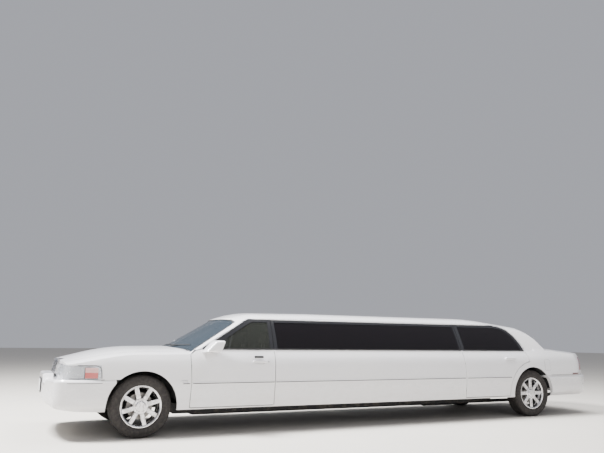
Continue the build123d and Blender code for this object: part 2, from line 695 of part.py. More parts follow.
def chin(points, end_x, away, rise=0.0):
    """What lies under a chin's line, right across the car; away is 1 towards the rear and -1 towards the front."""
    places = [(end_x + away * run, height + rise) for run, height in points]
    with BuildPart() as under:
        with BuildSketch(Plane.XZ):
            with BuildLine():
                line = FilletPolyline(*places, radius=CHIN_RADIUS)
                Polyline(line @ 1, ((line @ 1).X, 100), ((line @ 0).X, 100), line @ 0)
            make_face()
        extrude(amount=1300, both=True)
    return under.part


def bumper(profile, z_high, chin_points, end_x, away, x_low, x_high):
    """A bumper cover: its plan outline less all outside its profile and under its chin, hollow behind."""
    points, radii = half_outline(NOSE, TAIL)
    z_low = profile[0][1] + 2
    with BuildPart() as outside:
        with BuildLine() as outline:
            FilletPolyline(*points, radius=radii)
        with BuildSketch(Plane(origin=(NOSE, 0, 0), x_dir=(1, 0, 0), z_dir=(0, -1, 0))):
            with BuildLine():
                face = FilletPolyline(*profile, radius=BUMPER_RADII)
                Polyline(face @ 0, (-200, profile[0][1]), (-200, profile[-1][1]), face @ 1)
            make_face()
        sweep(path=outline.line)
        mirror(about=Plane.XZ)
    with BuildPart() as cover:
        with BuildSketch(Plane.XY.offset(z_low)) as plan:
            with BuildLine() as half_line:
                FilletPolyline(*points, radius=radii)
                mirror(half_line.line, about=Plane.XZ)
            make_face()
        extrude(amount=z_high - z_low)
    with BuildPart() as hollow:
        with BuildSketch(Plane.XY.offset(z_low)):
            add(plan.sketch)
            offset(amount=-BUMPER_WALL)
        extrude(amount=z_high - z_low - 40)
    ends = block((x_low, -1300, 0), (x_high, 1300, 1200))
    shell = (cover.part & ends) - outside.part - chin(chin_points, end_x, away)
    return shell - (hollow.part - chin(chin_points, end_x, away, BUMPER_LIP))


# The front bumper's middle rises to the foot of the grille
STEP_HALF = 300.0
STEP_TOP_Z = 706.0
with BuildPart() as bumper_step:
    with BuildSketch(Plane.YZ.offset(NOSE + 3)):
        with BuildLine():
            Polyline(
                (-STEP_HALF - 70, 600), (-STEP_HALF, STEP_TOP_Z), (STEP_HALF, STEP_TOP_Z), (STEP_HALF + 70, 600),
                close=True,
            )
        make_face()
    extrude(amount=FRONT_AXLE - 927 - NOSE - 3)
    fillet(bumper_step.edges().filter_by(Axis.Y).sort_by(Axis.Z)[-2:].sort_by(Axis.X)[0], 26)
front_bumper = bumper(FRONT_PROFILE, BUMPER_TOP_Z, FRONT_CHIN, NOSE, 1, NOSE - 10, FRONT_AXLE - 300) + bumper_step.part
front_bumper = front_bumper - front_arch - block(
    (FRONT_AXLE - 760, -820, SILL_Z - 20), (FRONT_AXLE, 820, BUMPER_TOP_Z + 10)
)
rear_bumper = bumper(REAR_PROFILE, BUMPER_SEAM_Z, REAR_CHIN, TAIL, -1, REAR_AXLE + 300, TAIL + 10)
rear_bumper = rear_bumper - rear_arch - block(
    (REAR_AXLE, -820, SILL_Z - 20), (REAR_AXLE + 1150, 820, BUMPER_SEAM_Z + 10)
)

# Screw holes of the number plates, two to a plate
PLATE_HOLE_Y = 89.0
PLATE_HOLE_RADIUS = 3.5
FRONT_PLATE_Z = 622.0
REAR_PLATE_Z = 870.0
for side in (-1, 1):
    front_bumper = front_bumper - cylinder_x(NOSE - 20, NOSE + 80, side * PLATE_HOLE_Y, FRONT_PLATE_Z, PLATE_HOLE_RADIUS)
    trunk_lid = trunk_lid - cylinder_x(TAIL - 260, TAIL, side * PLATE_HOLE_Y, REAR_PLATE_Z, PLATE_HOLE_RADIUS)

# Grille: a frame and upright bars, leaning with the nose
NOSE_LEAN = (820.0, 150.0)
lean = math.hypot(*NOSE_LEAN)
grille_z = (GRILLE_BOTTOM_Z + 866) / 2
grille_x = FRONT_AXLE - 1000 + (grille_z - 200) * NOSE_LEAN[1] / NOSE_LEAN[0]
grille_plane = Plane(
    origin=(grille_x, 0, grille_z), x_dir=(0, -1, 0), z_dir=(-NOSE_LEAN[0] / lean, 0, NOSE_LEAN[1] / lean)
)
with BuildPart() as grille:
    with BuildSketch(grille_plane.offset(-30)):
        Rectangle(2 * GRILLE_HALF + 16, 166)
        Rectangle(2 * GRILLE_HALF - 20, 130, mode=Mode.SUBTRACT)
    extrude(amount=42)
    with BuildSketch(grille_plane.offset(-26)):
        with GridLocations(2 * (GRILLE_HALF - 10) / (GRILLE_BARS + 1), 0, GRILLE_BARS, 1):
            Rectangle(9, 134)
    extrude(amount=32)

# Windscreen and rear window
wing_tops = low_outer - block((FRONT_AXLE, -HOOD_HALF - SEAT_GAP, 800), (REAR_AXLE, HOOD_HALF + SEAT_GAP, 1200))
screen_layer = windscreen_cut(GLASS_INSET + GLASS) - windscreen_cut(GLASS_INSET)
post_notch = block(
    (HOOD_REAR_X, HOOD_HINGE_Y - 27, 900), (HOOD_REAR_X + 42, HOOD_HINGE_Y + 27, HOOD_HINGE_Z + FLAP_RADIUS + 1)
)
screen_cuts = [Pos(0, 0, -COWL_DROP) * low_outer, wing_tops, hood_prism(HOOD_SWING), post_notch, right_of(post_notch)]
windscreen = (screen_layer & windscreen_prism) - screen_cuts
rear_window = (glass_layer & rear_screen_prism) - low_outer

# Structure: floor with sills, firewall, posts that carry the doors, rear pans and bulkhead
POST_OUTER_Y = 872.0
POST_TOP_Z = 910.0
PAN_HALF = 634.0
PAN_Z = 548.0
PAN_WALL = 20.0
KICK_X = REAR_AXLE - 440.0
FIREWALL_X = FRONT_AXLE + 600.0
BULKHEAD_X = REAR_AXLE + 110.0
TUNNEL_HALF = 110.0
TUNNEL_Z = 430.0


def both(low, high):
    """A box on the left and its mirror image on the right, given by the right one."""
    box = block(low, high)
    return [box, right_of(box)]


cowl_under = Pos(0, 0, -COWL_DROP) * low_panel
floor_pan = block((FIREWALL_X, -800, FLOOR_Z), (KICK_X, 800, FLOOR_Z + PAN_WALL))
floor_boxes = [
    (block((FIREWALL_X, -POST_OUTER_Y, FLOOR_Z), (FIREWALL_X + PAN_WALL, POST_OUTER_Y, 1100)) & cowl_under),
    block((KICK_X - PAN_WALL, -PAN_HALF, FLOOR_Z), (KICK_X, PAN_HALF, PAN_Z + PAN_WALL)),
    block((KICK_X - PAN_WALL, -PAN_HALF, PAN_Z), (REAR_AXLE + 1180, PAN_HALF, PAN_Z + PAN_WALL)),
    block((BULKHEAD_X, -PAN_HALF, PAN_Z), (BULKHEAD_X + PAN_WALL, PAN_HALF, 1200)) & low_panel,
]
sill_right = right_of(
    side_panel_inner & block((FIREWALL_X - 80, -1200, SILL_Z), (REAR_AXLE - ARCH_RADIUS - 10, -790, SILL_Z + 12))
)
floor_boxes += [sill_right, right_of(sill_right)]
floor_boxes += both((FIREWALL_X - 80, 790, SILL_Z), (REAR_AXLE - ARCH_RADIUS - 30, 855, SILL_Z + 120))
for axis_x in (FRONT_HINGE_X, REAR_HINGE_X):
    floor_boxes += both((axis_x - 80, 820, SILL_Z), (axis_x + HINGE_RADIUS, POST_OUTER_Y, POST_TOP_Z))
fender_flange = right_of(
    (low_panel & block((FIREWALL_X - 104, -1200, SILL_Z), (FIREWALL_X - 70, -820, 900))) - front_opening
)
floor_boxes += [fender_flange, right_of(fender_flange)]
rear_flange = (low_panel & block((BULKHEAD_X, PAN_HALF - 20, 762), (BULKHEAD_X + PAN_WALL, 1200, 1200)))
floor_boxes += [rear_flange, right_of(rear_flange)]
for axis_x in (FRONT_HINGE_X, REAR_HINGE_X):
    for height in HINGE_HEIGHTS:
        for low_z in (height - HINGE_BARREL / 2 - SEAT_GAP - HINGE_EAR, height + HINGE_BARREL / 2 + SEAT_GAP):
            ear = cylinder_z(axis_x, -HINGE_Y, HINGE_RADIUS, low_z, low_z + HINGE_EAR) + block(
                (axis_x - HINGE_RADIUS, POST_OUTER_Y - 10, low_z), (axis_x + HINGE_RADIUS, -HINGE_Y, low_z + HINGE_EAR)
            )
            floor_boxes += [ear, right_of(ear)]
tunnel = block((FIREWALL_X, -TUNNEL_HALF, FLOOR_Z), (KICK_X, TUNNEL_HALF, TUNNEL_Z))
tunnel_bore = block(
    (FIREWALL_X - 30, PAN_WALL - TUNNEL_HALF, FLOOR_Z - 10), (KICK_X + 10, TUNNEL_HALF - PAN_WALL, TUNNEL_Z - PAN_WALL)
)
floor_pan = (floor_pan + floor_boxes + tunnel) - tunnel_bore

# Wheel-arch liners: half-round shells inside each arch
LINER_SPANS = (("front", FRONT_AXLE, 505.0), ("rear", REAR_AXLE, PAN_HALF))
liners = []
for _, axle_x, inner_y in LINER_SPANS:
    shell = cylinder_y(axle_x, TYRE_RADIUS, ARCH_RADIUS + 2 + LINER_WALL, inner_y, 1000) - cylinder_y(
        axle_x, TYRE_RADIUS, ARCH_RADIUS + 2, inner_y, 1000
    )
    shell = shell & block((axle_x - 500, inner_y, 420), (axle_x + 500, 1000, 900)) & low_panel
    if inner_y == PAN_HALF:
        wall = cylinder_y(axle_x, TYRE_RADIUS, ARCH_RADIUS + 2 + LINER_WALL, inner_y, inner_y + LINER_WALL) & block(
            (axle_x - 500, inner_y, 420), (axle_x + 500, 1000, 900)
        )
        shell = shell + wall
    liners += [shell - front_bumper - rear_bumper, right_of(shell) - front_bumper - rear_bumper]
wheel_liners = Compound(children=[piece for part in liners for piece in part.solids()])

# Chassis: two kicked-up rails and crossmembers
RAIL_LINE = [
    (FRONT_AXLE - 755, 400), (FRONT_AXLE - 755, 300), (FRONT_AXLE + 330, 290), (FRONT_AXLE + 480, RAIL_BOTTOM_Z),
    (REAR_AXLE - 460, RAIL_BOTTOM_Z), (REAR_AXLE - 230, 450), (REAR_AXLE + 350, 450), (REAR_AXLE + 520, 380),
    (REAR_AXLE + 1190, 380), (REAR_AXLE + 1190, 470), (REAR_AXLE + 560, 470), (REAR_AXLE + 390, 545),
    (REAR_AXLE - 270, 545), (REAR_AXLE - 430, RAIL_TOP_Z), (FRONT_AXLE + 440, RAIL_TOP_Z), (FRONT_AXLE + 300, 400),
]
with BuildPart() as chassis_frame:
    with BuildSketch(Plane.XZ.offset(-RAIL_Y - RAIL_HALF)):
        with BuildLine():
            Polyline(*RAIL_LINE, close=True)
        make_face()
    extrude(amount=2 * RAIL_HALF)
    mirror(about=Plane.XZ)
    for x, low_z, high_z in (
        (FRONT_AXLE - 640, 310, 390), (FRONT_AXLE + 900, 225, CROSS_TOP_Z), (FRONT_AXLE + 2500, 225, CROSS_TOP_Z),
        (FRONT_AXLE + 4100, 225, CROSS_TOP_Z), (REAR_AXLE - 600, 225, CROSS_TOP_Z), (REAR_AXLE + 700, 390, 460),
        (REAR_AXLE + 1160, 390, 460),
    ):
        with Locations((x, 0, (low_z + high_z) / 2)):
            Box(80, 2 * RAIL_Y, high_z - low_z)
    for x in (FRONT_AXLE - 640, REAR_AXLE + 700, REAR_AXLE + 1150):
        for side in (-1, 1):
            with Locations((x, side * RAIL_Y, 440)):
                Box(50, 60, 90)

# Front suspension, fixed: crossmember, two pairs of arms, dampers and their towers
KINGPIN_Y = FRONT_TRACK / 2 - KINGPIN_INSET
LOWER_Z = TYRE_RADIUS - BALL_HEIGHT
UPPER_Z = TYRE_RADIUS + BALL_HEIGHT
ARM_HALF = 11.0
EYE_RADIUS = 26.0
TOWER_Y = 590.0


def wishbone(z, base_half, inner_y):
    """A tapering arm from the frame to the eye round the kingpin."""
    with BuildPart() as arm:
        with BuildSketch(Plane.XY.offset(z - ARM_HALF)):
            with BuildLine():
                Polyline(
                    (FRONT_AXLE - base_half, inner_y), (FRONT_AXLE + base_half, inner_y),
                    (FRONT_AXLE + EYE_RADIUS, KINGPIN_Y), (FRONT_AXLE - EYE_RADIUS, KINGPIN_Y), close=True
                )
            make_face()
            with Locations((FRONT_AXLE, KINGPIN_Y)):
                Circle(EYE_RADIUS)
                Circle(KINGPIN_RADIUS + RUN_GAP, mode=Mode.SUBTRACT)
        extrude(amount=2 * ARM_HALF)
    return arm.part


suspension = block((FRONT_AXLE - 90, -RAIL_Y - RAIL_HALF, 235), (FRONT_AXLE + 90, RAIL_Y + RAIL_HALF, 290))
tower_low = RAIL_Y - RAIL_HALF
for piece in (
    wishbone(LOWER_Z, 90, 440),
    wishbone(UPPER_Z, 80, 440),
    block((FRONT_AXLE - 80, tower_low, 400), (FRONT_AXLE + 80, 444, 722)),
    block((FRONT_AXLE - 60, tower_low, 706), (FRONT_AXLE + 60, 640, 722)),
    cylinder_z(FRONT_AXLE, TOWER_Y, 22, LOWER_Z, 710),
    cylinder_z(FRONT_AXLE, TOWER_Y, 40, LOWER_Z + 240, 700),
):
    suspension = suspension + piece + right_of(piece)

# Knuckles: an upright between the arms' eyes, its kingpin, and the spindle that the wheel turns on
WHEEL_FACE = 15.0
SPINDLE_LENGTH = 62.0


def knuckle(side):
    """The knuckle on one side, -1 left and 1 right."""
    low = LOWER_Z + ARM_HALF + SEAT_GAP
    high = UPPER_Z - ARM_HALF - SEAT_GAP
    upright = block((FRONT_AXLE - 30, KINGPIN_Y - 24, low), (FRONT_AXLE + 30, KINGPIN_Y + 24, high))
    pin = cylinder_z(FRONT_AXLE, KINGPIN_Y, KINGPIN_RADIUS, LOWER_Z - ARM_HALF, UPPER_Z + ARM_HALF)
    face_y = FRONT_TRACK / 2 + WHEEL_FACE
    boss = cylinder_y(FRONT_AXLE, TYRE_RADIUS, 58, KINGPIN_Y, face_y - SEAT_GAP)
    spindle = cylinder_y(FRONT_AXLE, TYRE_RADIUS, SPINDLE_RADIUS, KINGPIN_Y, face_y + SPINDLE_LENGTH)
    arm = block((FRONT_AXLE + 20, KINGPIN_Y - 16, low + 10), (FRONT_AXLE + 130, KINGPIN_Y + 6, low + 34))
    part = upright + pin + boss + spindle + arm
    return part if side > 0 else right_of(part)


# Rear axle: tube, differential, hubs, spindles, springs and trailing arms
rear_face_y = REAR_TRACK / 2 + WHEEL_FACE
with BuildPart() as rear_axle:
    with BuildSketch(Plane(origin=(REAR_AXLE, 0, TYRE_RADIUS), x_dir=(1, 0, 0), z_dir=(0, -1, 0))) as tube:
        Circle(38)
    extrude(amount=rear_face_y - 60, both=True)
    with Locations((REAR_AXLE, 0, TYRE_RADIUS)):
        Sphere(DIFF_RADIUS)
    with BuildSketch(Plane(origin=(REAR_AXLE, 0, TYRE_RADIUS), x_dir=(1, 0, 0), z_dir=(0, -1, 0))):
        Circle(SPINDLE_RADIUS)
    extrude(amount=rear_face_y + SPINDLE_LENGTH, both=True)
    for side in (-1, 1):
        with Locations(Location((REAR_AXLE, side * (rear_face_y - SEAT_GAP - 20), TYRE_RADIUS), (90, 0, 0))):
            Cylinder(58, 40)
        with Locations((REAR_AXLE, side * RAIL_Y, (TYRE_RADIUS + 450) / 2)):
            Cylinder(50, 450 - TYRE_RADIUS)
        with Locations((REAR_AXLE - 300, side * (RAIL_Y - RAIL_HALF - 16), TYRE_RADIUS - 55)):
            Box(620, 32, 44)

# Propeller shaft from the engine to the differential, on bearings that stand on two crossmembers
SHAFT_RADIUS = 38.0
SHAFT_FRONT_X = FRONT_AXLE + 330.0 + SEAT_GAP
SHAFT_REAR_X = REAR_AXLE - DIFF_RADIUS - SEAT_GAP
drive_shaft = cylinder_x(SHAFT_FRONT_X, SHAFT_REAR_X, 0, TYRE_RADIUS, SHAFT_RADIUS)
for x in (SHAFT_FRONT_X, SHAFT_REAR_X - 20):
    drive_shaft = drive_shaft + cylinder_x(x, x + 20, 0, TYRE_RADIUS, 60)
for x in (FRONT_AXLE + 2500, FRONT_AXLE + 4100):
    drive_shaft = drive_shaft + block((x - 22, -50, CROSS_TOP_Z), (x + 22, 50, TYRE_RADIUS + 44))

# Exhaust: a pipe on each side under the crossmembers, with a silencer and hangers, out under the rear bumper
PIPE_RADIUS = 26.0
PIPE_Y = 300.0
PIPE_Z = 192.0
SILENCER_X = REAR_AXLE - 1620.0
SILENCER_LENGTH = 520.0
with BuildPart() as exhaust_pipe:
    with BuildLine() as pipe_line:
        FilletPolyline(
            (FRONT_AXLE + 330 + SEAT_GAP, 240, 350), (FRONT_AXLE + 480, 240, 350), (FRONT_AXLE + 760, PIPE_Y, PIPE_Z),
            (REAR_AXLE + 760, PIPE_Y, PIPE_Z), (REAR_AXLE + 1060, PIPE_Y, 262), (TAIL - 150, PIPE_Y, 262), radius=90,
        )
    with BuildSketch(Plane(origin=pipe_line.line @ 0, z_dir=pipe_line.line % 0)):
        Circle(PIPE_RADIUS)
    sweep()
    with BuildSketch(Plane.YZ.offset(SILENCER_X)):
        with Locations((PIPE_Y - 30, PIPE_Z + 2)):
            Ellipse(98, 44)
    extrude(amount=SILENCER_LENGTH)
    for x in (FRONT_AXLE + 900, FRONT_AXLE + 2500, FRONT_AXLE + 4100, REAR_AXLE - 600):
        with Locations((x, PIPE_Y, (PIPE_Z + 225) / 2)):
            Box(16, 24, 225 - PIPE_Z)

# Fuel tank between the rear axle and the crossmember behind it
with BuildPart() as fuel_tank:
    with Locations((REAR_AXLE + 460, 0, (330 + PAN_Z - SEAT_GAP) / 2)):
        Box(360, 700, PAN_Z - SEAT_GAP - 330)
    fillet(fuel_tank.edges().filter_by(Axis.Y), 36)

# Wheels: a rim with broad flat spokes, and its tyre
RIM_SEAT = RIM_RADIUS - 14.0
WHEELS = (
    ("front_left", FRONT_AXLE, -FRONT_TRACK / 2),
    ("front_right", FRONT_AXLE, FRONT_TRACK / 2),
    ("rear_left", REAR_AXLE, -REAR_TRACK / 2),
    ("rear_right", REAR_AXLE, REAR_TRACK / 2),
)


def wheel_plane(x, y, z_dir=1):
    return Plane(origin=(x, y, TYRE_RADIUS), x_dir=(1, 0, 0), z_dir=(0, z_dir, 0))


half_rim = RIM_WIDTH / 2

# The hub's domed cap
with BuildPart() as cap:
    with BuildSketch(Plane.XY.offset(WHEEL_FACE + HUB_DEPTH - CAP_SINK)):
        Circle(CAP_RADIUS)
    extrude(amount=CAP_SINK + CAP_RISE)
    fillet(cap.faces().sort_by(Axis.Z)[-1].edges(), 0.85 * CAP_RISE)

# One spoke: a broad bar that dips towards the hub, with chamfered long edges and a groove along its middle
with BuildPart() as spoke:
    with BuildSketch(Plane.XZ):
        with BuildLine():
            Polyline(
                (HUB_RADIUS - 12, WHEEL_FACE + 24), (RIM_SEAT - 6, WHEEL_FACE + 36), (RIM_SEAT - 6, WHEEL_FACE + 62),
                (HUB_RADIUS - 12, WHEEL_FACE + 58), close=True,
            )
        make_face()
    extrude(amount=SPOKE_WIDTH / 2, both=True)
    face = spoke.faces().sort_by(Axis.Z)[-1]
    chamfer(face.edges().filter_by(lambda e: e.length > 60), SPOKE_EDGE)
    with BuildSketch(Plane.XY.offset(WHEEL_FACE + 55)):
        with Locations(((HUB_RADIUS + RIM_SEAT) / 2 + 6, 0)):
            SlotOverall(RIM_SEAT - HUB_RADIUS - 48, SPOKE_GROOVE)
    extrude(amount=20, mode=Mode.SUBTRACT)

with BuildPart() as rim:
    with BuildSketch(Plane.XZ):
        with BuildLine():
            Polyline(
                (RIM_RADIUS, half_rim), (RIM_SEAT, half_rim - 12), (RIM_SEAT - 4, half_rim - 50),
                (RIM_SEAT - 16, half_rim - 62), (RIM_SEAT - 16, -half_rim + 40), (RIM_SEAT, -half_rim + 12),
                (RIM_RADIUS, -half_rim), (RIM_RADIUS - 8, -half_rim), (RIM_SEAT - RIM_WALL, -half_rim + 14),
                (RIM_SEAT - 16 - RIM_WALL, -half_rim + 42), (RIM_SEAT - 16 - RIM_WALL, half_rim - 70),
                (RIM_SEAT - 4 - RIM_WALL, half_rim - 48), (RIM_SEAT - 6, half_rim - 8), (RIM_RADIUS - 8, half_rim),
                close=True,
            )
        make_face()
    revolve(axis=Axis.Z)
    with BuildSketch(Plane.XY.offset(WHEEL_FACE)):
        Circle(HUB_RADIUS)
        Circle(SPINDLE_RADIUS + RUN_GAP, mode=Mode.SUBTRACT)
    extrude(amount=HUB_DEPTH)
    hub_rim = rim.edges().filter_by(GeomType.CIRCLE).filter_by(lambda e: abs(e.radius - HUB_RADIUS) < 0.1)
    chamfer(hub_rim.sort_by(Axis.Z)[-1], 6)
    add(cap.part)
    with PolarLocations(0, SPOKE_COUNT):
        add(spoke.part)
with BuildPart() as tyre:
    half_tyre = TYRE_WIDTH / 2
    with BuildSketch(Plane.XZ):
        with BuildLine():
            Polyline(
                (RIM_SEAT, half_rim - 13), (RIM_RADIUS + 6, half_rim - 2), (RIM_RADIUS + 50, half_tyre),
                (TYRE_RADIUS - 28, half_tyre - 4), (TYRE_RADIUS, half_tyre - 30), (TYRE_RADIUS, -half_tyre + 30),
                (TYRE_RADIUS - 28, -half_tyre + 4), (RIM_RADIUS + 50, -half_tyre), (RIM_RADIUS + 6, -half_rim + 2),
                (RIM_SEAT, -half_rim + 13), close=True,
            )
        make_face()
    revolve(axis=Axis.Z)

# Radiator support: an upright frame that the lamps, the grille and the front bumper are fixed to
radiator_support = block((SUPPORT_X, -700, 330), (FRONT_AXLE - 755, 700, 800)) - block(
    (FRONT_AXLE - 800, -360, 400), (FRONT_AXLE - 740, 360, 740)
)
for piece in (
    block((FRONT_AXLE - 880, 322, 740), (FRONT_AXLE - 780, 336, 855)),
    block((FRONT_AXLE - 940, 480, 400), (FRONT_AXLE - 780, 560, 590)),
):
    radiator_support = radiator_support + piece + right_of(piece)
radiator_support = radiator_support - [grille.part, front_bumper, lamp_left, right_of(lamp_left)]

# Engine, seats, dashboard, steering wheel
engine = block((FRONT_AXLE - 330, -300, 290), (FRONT_AXLE + 330, 300, 880))


def seat(x, z, y_low, y_high, depth, height, facing=1):
    """A seat with its back, as one cushion-shaped block, facing the front."""
    with BuildPart() as cushion:
        with BuildSketch(Plane.XZ.offset(-y_high)):
            with BuildLine():
                Polyline(
                    (x, z), (x, z + 150), (x + depth - 140, z + 120), (x + depth - 40, z + height),
                    (x + depth + 60, z + height), (x + depth + 20, z), close=True,
                )
            make_face()
        extrude(amount=y_high - y_low)
        fillet(cushion.edges().filter_by(Axis.Y), 20)
    return cushion.part


SEAT_FOOT = FLOOR_Z + PAN_WALL
FRONT_SEAT_X = FRONT_AXLE + 1120.0
FRONT_SEAT_HEIGHT = 700.0
front_seats = []
for y_low in (-680, 120):
    with BuildPart() as head_rest:
        with BuildSketch(Plane.XY.offset(SEAT_FOOT + FRONT_SEAT_HEIGHT - 4)):
            with Locations((FRONT_SEAT_X + 570, y_low + 280)):
                RectangleRounded(90, 260, 40)
        extrude(amount=190)
        fillet(head_rest.faces().sort_by(Axis.Z)[-1].edges(), 30)
    front_seats.append(
        seat(FRONT_SEAT_X, SEAT_FOOT, y_low, y_low + 560, 560, FRONT_SEAT_HEIGHT) + head_rest.part
    )

# Partition behind the front seats, with its window, and the bench along the left side of the cabin
PARTITION_X = FRONT_AXLE + 1790.0
PARTITION_WALL = 25.0
cabin_inside = low_panel + house_frame
partition = block((PARTITION_X, -785, SEAT_FOOT), (PARTITION_X + PARTITION_WALL, 785, 440)) + (
    block((PARTITION_X, -1200, 430), (PARTITION_X + PARTITION_WALL, 1200, 1460)) & cabin_inside
)
partition = partition - tunnel - block((PARTITION_X - 10, -520, 1010), (PARTITION_X + 60, 520, 1330))
BENCH_X = PARTITION_X + 160.0
BENCH_END_X = REAR_SEAM_X - 160.0
with BuildPart() as side_bench:
    with BuildSketch(Plane.YZ.offset(BENCH_X)):
        with BuildLine():
            Polyline(
                (-420, SEAT_FOOT), (-420, 600), (-740, 580), (-800, 930), (-900, 930), (-900, 434), (-785, 434),
                (-785, SEAT_FOOT), close=True,
            )
        make_face()
    extrude(amount=BENCH_END_X - BENCH_X)
    fillet(side_bench.edges().filter_by(Axis.X).sort_by(Axis.Z)[-4:], 30)
rear_seats = [seat(REAR_AXLE - 400, PAN_Z + PAN_WALL, -620, 620, 420, 560)]
dashboard = block((FIREWALL_X + PAN_WALL, -740, 620), (FIREWALL_X + PAN_WALL + 300, 740, 900))
with BuildPart() as steering_wheel:
    column_plane = Plane(origin=(FIREWALL_X + 420, -400, 850), x_dir=(0, 1, 0), z_dir=(0.9, 0, 0.44))
    with BuildSketch(column_plane.offset(0)):
        Circle(190)
        Circle(162, mode=Mode.SUBTRACT)
        Rectangle(330, 34)
        Circle(60)
    extrude(amount=24)
    with BuildSketch(column_plane.offset(-120)):
        Circle(24)
    extrude(amount=130)

# Door mirrors: a housing rounded in front and flat behind, with the glass's recess, on a foot at the door
MIRROR_REAR_X = FRONT_AXLE + 884.0
MIRROR_BOTTOM_Z = 972.0
MIRROR_TOP_Z = 1104.0
MIRROR_INNER_Y = -922.0
MIRROR_OUTER_Y = -1102.0
with BuildPart() as mirror_housing:
    with BuildSketch(Plane.XY.offset(MIRROR_BOTTOM_Z)):
        with BuildLine():
            Line((MIRROR_REAR_X, MIRROR_INNER_Y), (MIRROR_REAR_X, MIRROR_OUTER_Y))
            ThreePointArc(
                (MIRROR_REAR_X, MIRROR_OUTER_Y), (MIRROR_REAR_X - 132, MIRROR_OUTER_Y + 66),
                (MIRROR_REAR_X - 150, MIRROR_INNER_Y),
            )
            Line((MIRROR_REAR_X - 150, MIRROR_INNER_Y), (MIRROR_REAR_X, MIRROR_INNER_Y))
        make_face()
    extrude(amount=MIRROR_TOP_Z - MIRROR_BOTTOM_Z)
    fillet(mirror_housing.edges().filter_by(Axis.Z), 16)
    fillet(mirror_housing.faces().sort_by(Axis.Z)[-1].edges(), 30)
    fillet(mirror_housing.faces().sort_by(Axis.Z)[0].edges(), 24)
    mirror_middle = ((MIRROR_INNER_Y + MIRROR_OUTER_Y) / 2, (MIRROR_BOTTOM_Z + MIRROR_TOP_Z) / 2)
    with BuildSketch(Plane.YZ.offset(MIRROR_REAR_X + 1)):
        with Locations(mirror_middle):
            RectangleRounded(MIRROR_INNER_Y - MIRROR_OUTER_Y - 34, MIRROR_TOP_Z - MIRROR_BOTTOM_Z - 34, 22)
    extrude(amount=-9, mode=Mode.SUBTRACT)
mirror_foot = block((FRONT_AXLE + 738, -960, 986), (FRONT_AXLE + 800, -884, 1022))
mirror_left = (mirror_housing.part + mirror_foot) - door_front_left - glass_front_left

floor_pan = floor_pan - chassis_frame.part
rear_axle_part = rear_axle.part - chassis_frame.part
steering_part = steering_wheel.part - dashboard

PIECES = {
    "floor_pan": floor_pan,
    "chassis_frame": chassis_frame.part,
    "roof": roof,
    "hood": hood,
    "cowl": cowl,
    "grille": grille.part,
    "headlamps": headlamps,
    "headlamp_lenses": headlamp_lenses,
    "front_bumper": front_bumper,
    "rear_bumper": rear_bumper,
    "trunk_lid": trunk_lid,
    "parcel_shelf": parcel_shelf,
    "tail_lamps": tail_lamps,
    "windshield": windscreen,
    "rear_window": rear_window,
    "side_windows": Compound(children=[glass_stretch_left, right_of(glass_stretch_left)]),
    "wheel_liners": wheel_liners,
    "radiator_support": radiator_support,
    "front_suspension": suspension,
    "rear_axle": rear_axle_part,
    "knuckle_left": knuckle(-1),
    "knuckle_right": knuckle(1),
    "engine": engine,
    "front_seats": Compound(children=front_seats),
    "rear_seat": rear_seats[0],
    "partition": partition,
    "side_bench": side_bench.part,
    "drive_shaft": drive_shaft,
    "exhaust": Compound(children=[exhaust_pipe.part, right_of(exhaust_pipe.part)]),
    "fuel_tank": fuel_tank.part,
    "dashboard": dashboard,
    "steering_wheel": steering_part,
}
for label, piece in PIECES.items():
    save(piece, label)
PAIRS = {
    "front_fender": front_fender_left,
    "quarter": quarter_left,
    "side_panel": side_panel_left,
    "door_front": door_front_left,
    "door_rear": door_rear_left,
    "glass_front": glass_front_left,
    "glass_rear": glass_rear_left,
    "mirror": mirror_left,
}
for label, piece in PAIRS.items():
    save(right_of(piece), label + "_right")
    save(piece, label + "_left")
for place, x, y in WHEELS:
    turn = FRONT_WHEEL_TURN if x == FRONT_AXLE else 0.0
    location = wheel_plane(x, y, 1 if y > 0 else -1).location * Location((0, 0, 0), (0, 0, turn))
    save(location * rim.part, "rim_" + place)
    save(location * tyre.part, "tyre_" + place)
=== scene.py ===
"""A white stretch limousine in a plain pale studio, seen from its left front as it stood at the kerb."""

import json
import math

import bpy
from mathutils import Matrix, Vector

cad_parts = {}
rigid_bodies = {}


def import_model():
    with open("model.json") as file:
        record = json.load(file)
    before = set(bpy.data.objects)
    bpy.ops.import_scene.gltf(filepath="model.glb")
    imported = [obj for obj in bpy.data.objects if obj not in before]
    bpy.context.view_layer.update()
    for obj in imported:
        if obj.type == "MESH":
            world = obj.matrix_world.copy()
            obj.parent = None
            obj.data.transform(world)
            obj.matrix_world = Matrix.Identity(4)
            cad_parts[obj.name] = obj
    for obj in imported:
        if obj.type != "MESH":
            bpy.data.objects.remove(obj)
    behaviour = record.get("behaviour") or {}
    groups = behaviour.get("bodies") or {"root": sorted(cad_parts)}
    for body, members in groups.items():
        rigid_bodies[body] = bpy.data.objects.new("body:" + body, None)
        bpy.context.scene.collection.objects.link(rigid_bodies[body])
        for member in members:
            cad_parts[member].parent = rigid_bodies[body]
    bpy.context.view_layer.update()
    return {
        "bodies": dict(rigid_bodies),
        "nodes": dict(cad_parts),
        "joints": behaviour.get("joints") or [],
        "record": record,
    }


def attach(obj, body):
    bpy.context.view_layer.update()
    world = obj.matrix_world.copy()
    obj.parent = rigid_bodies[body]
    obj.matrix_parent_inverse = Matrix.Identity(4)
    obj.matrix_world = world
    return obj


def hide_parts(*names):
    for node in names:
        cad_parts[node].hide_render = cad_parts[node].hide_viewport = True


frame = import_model()
nodes = frame["nodes"]
bpy.ops.object.select_all(action="DESELECT")

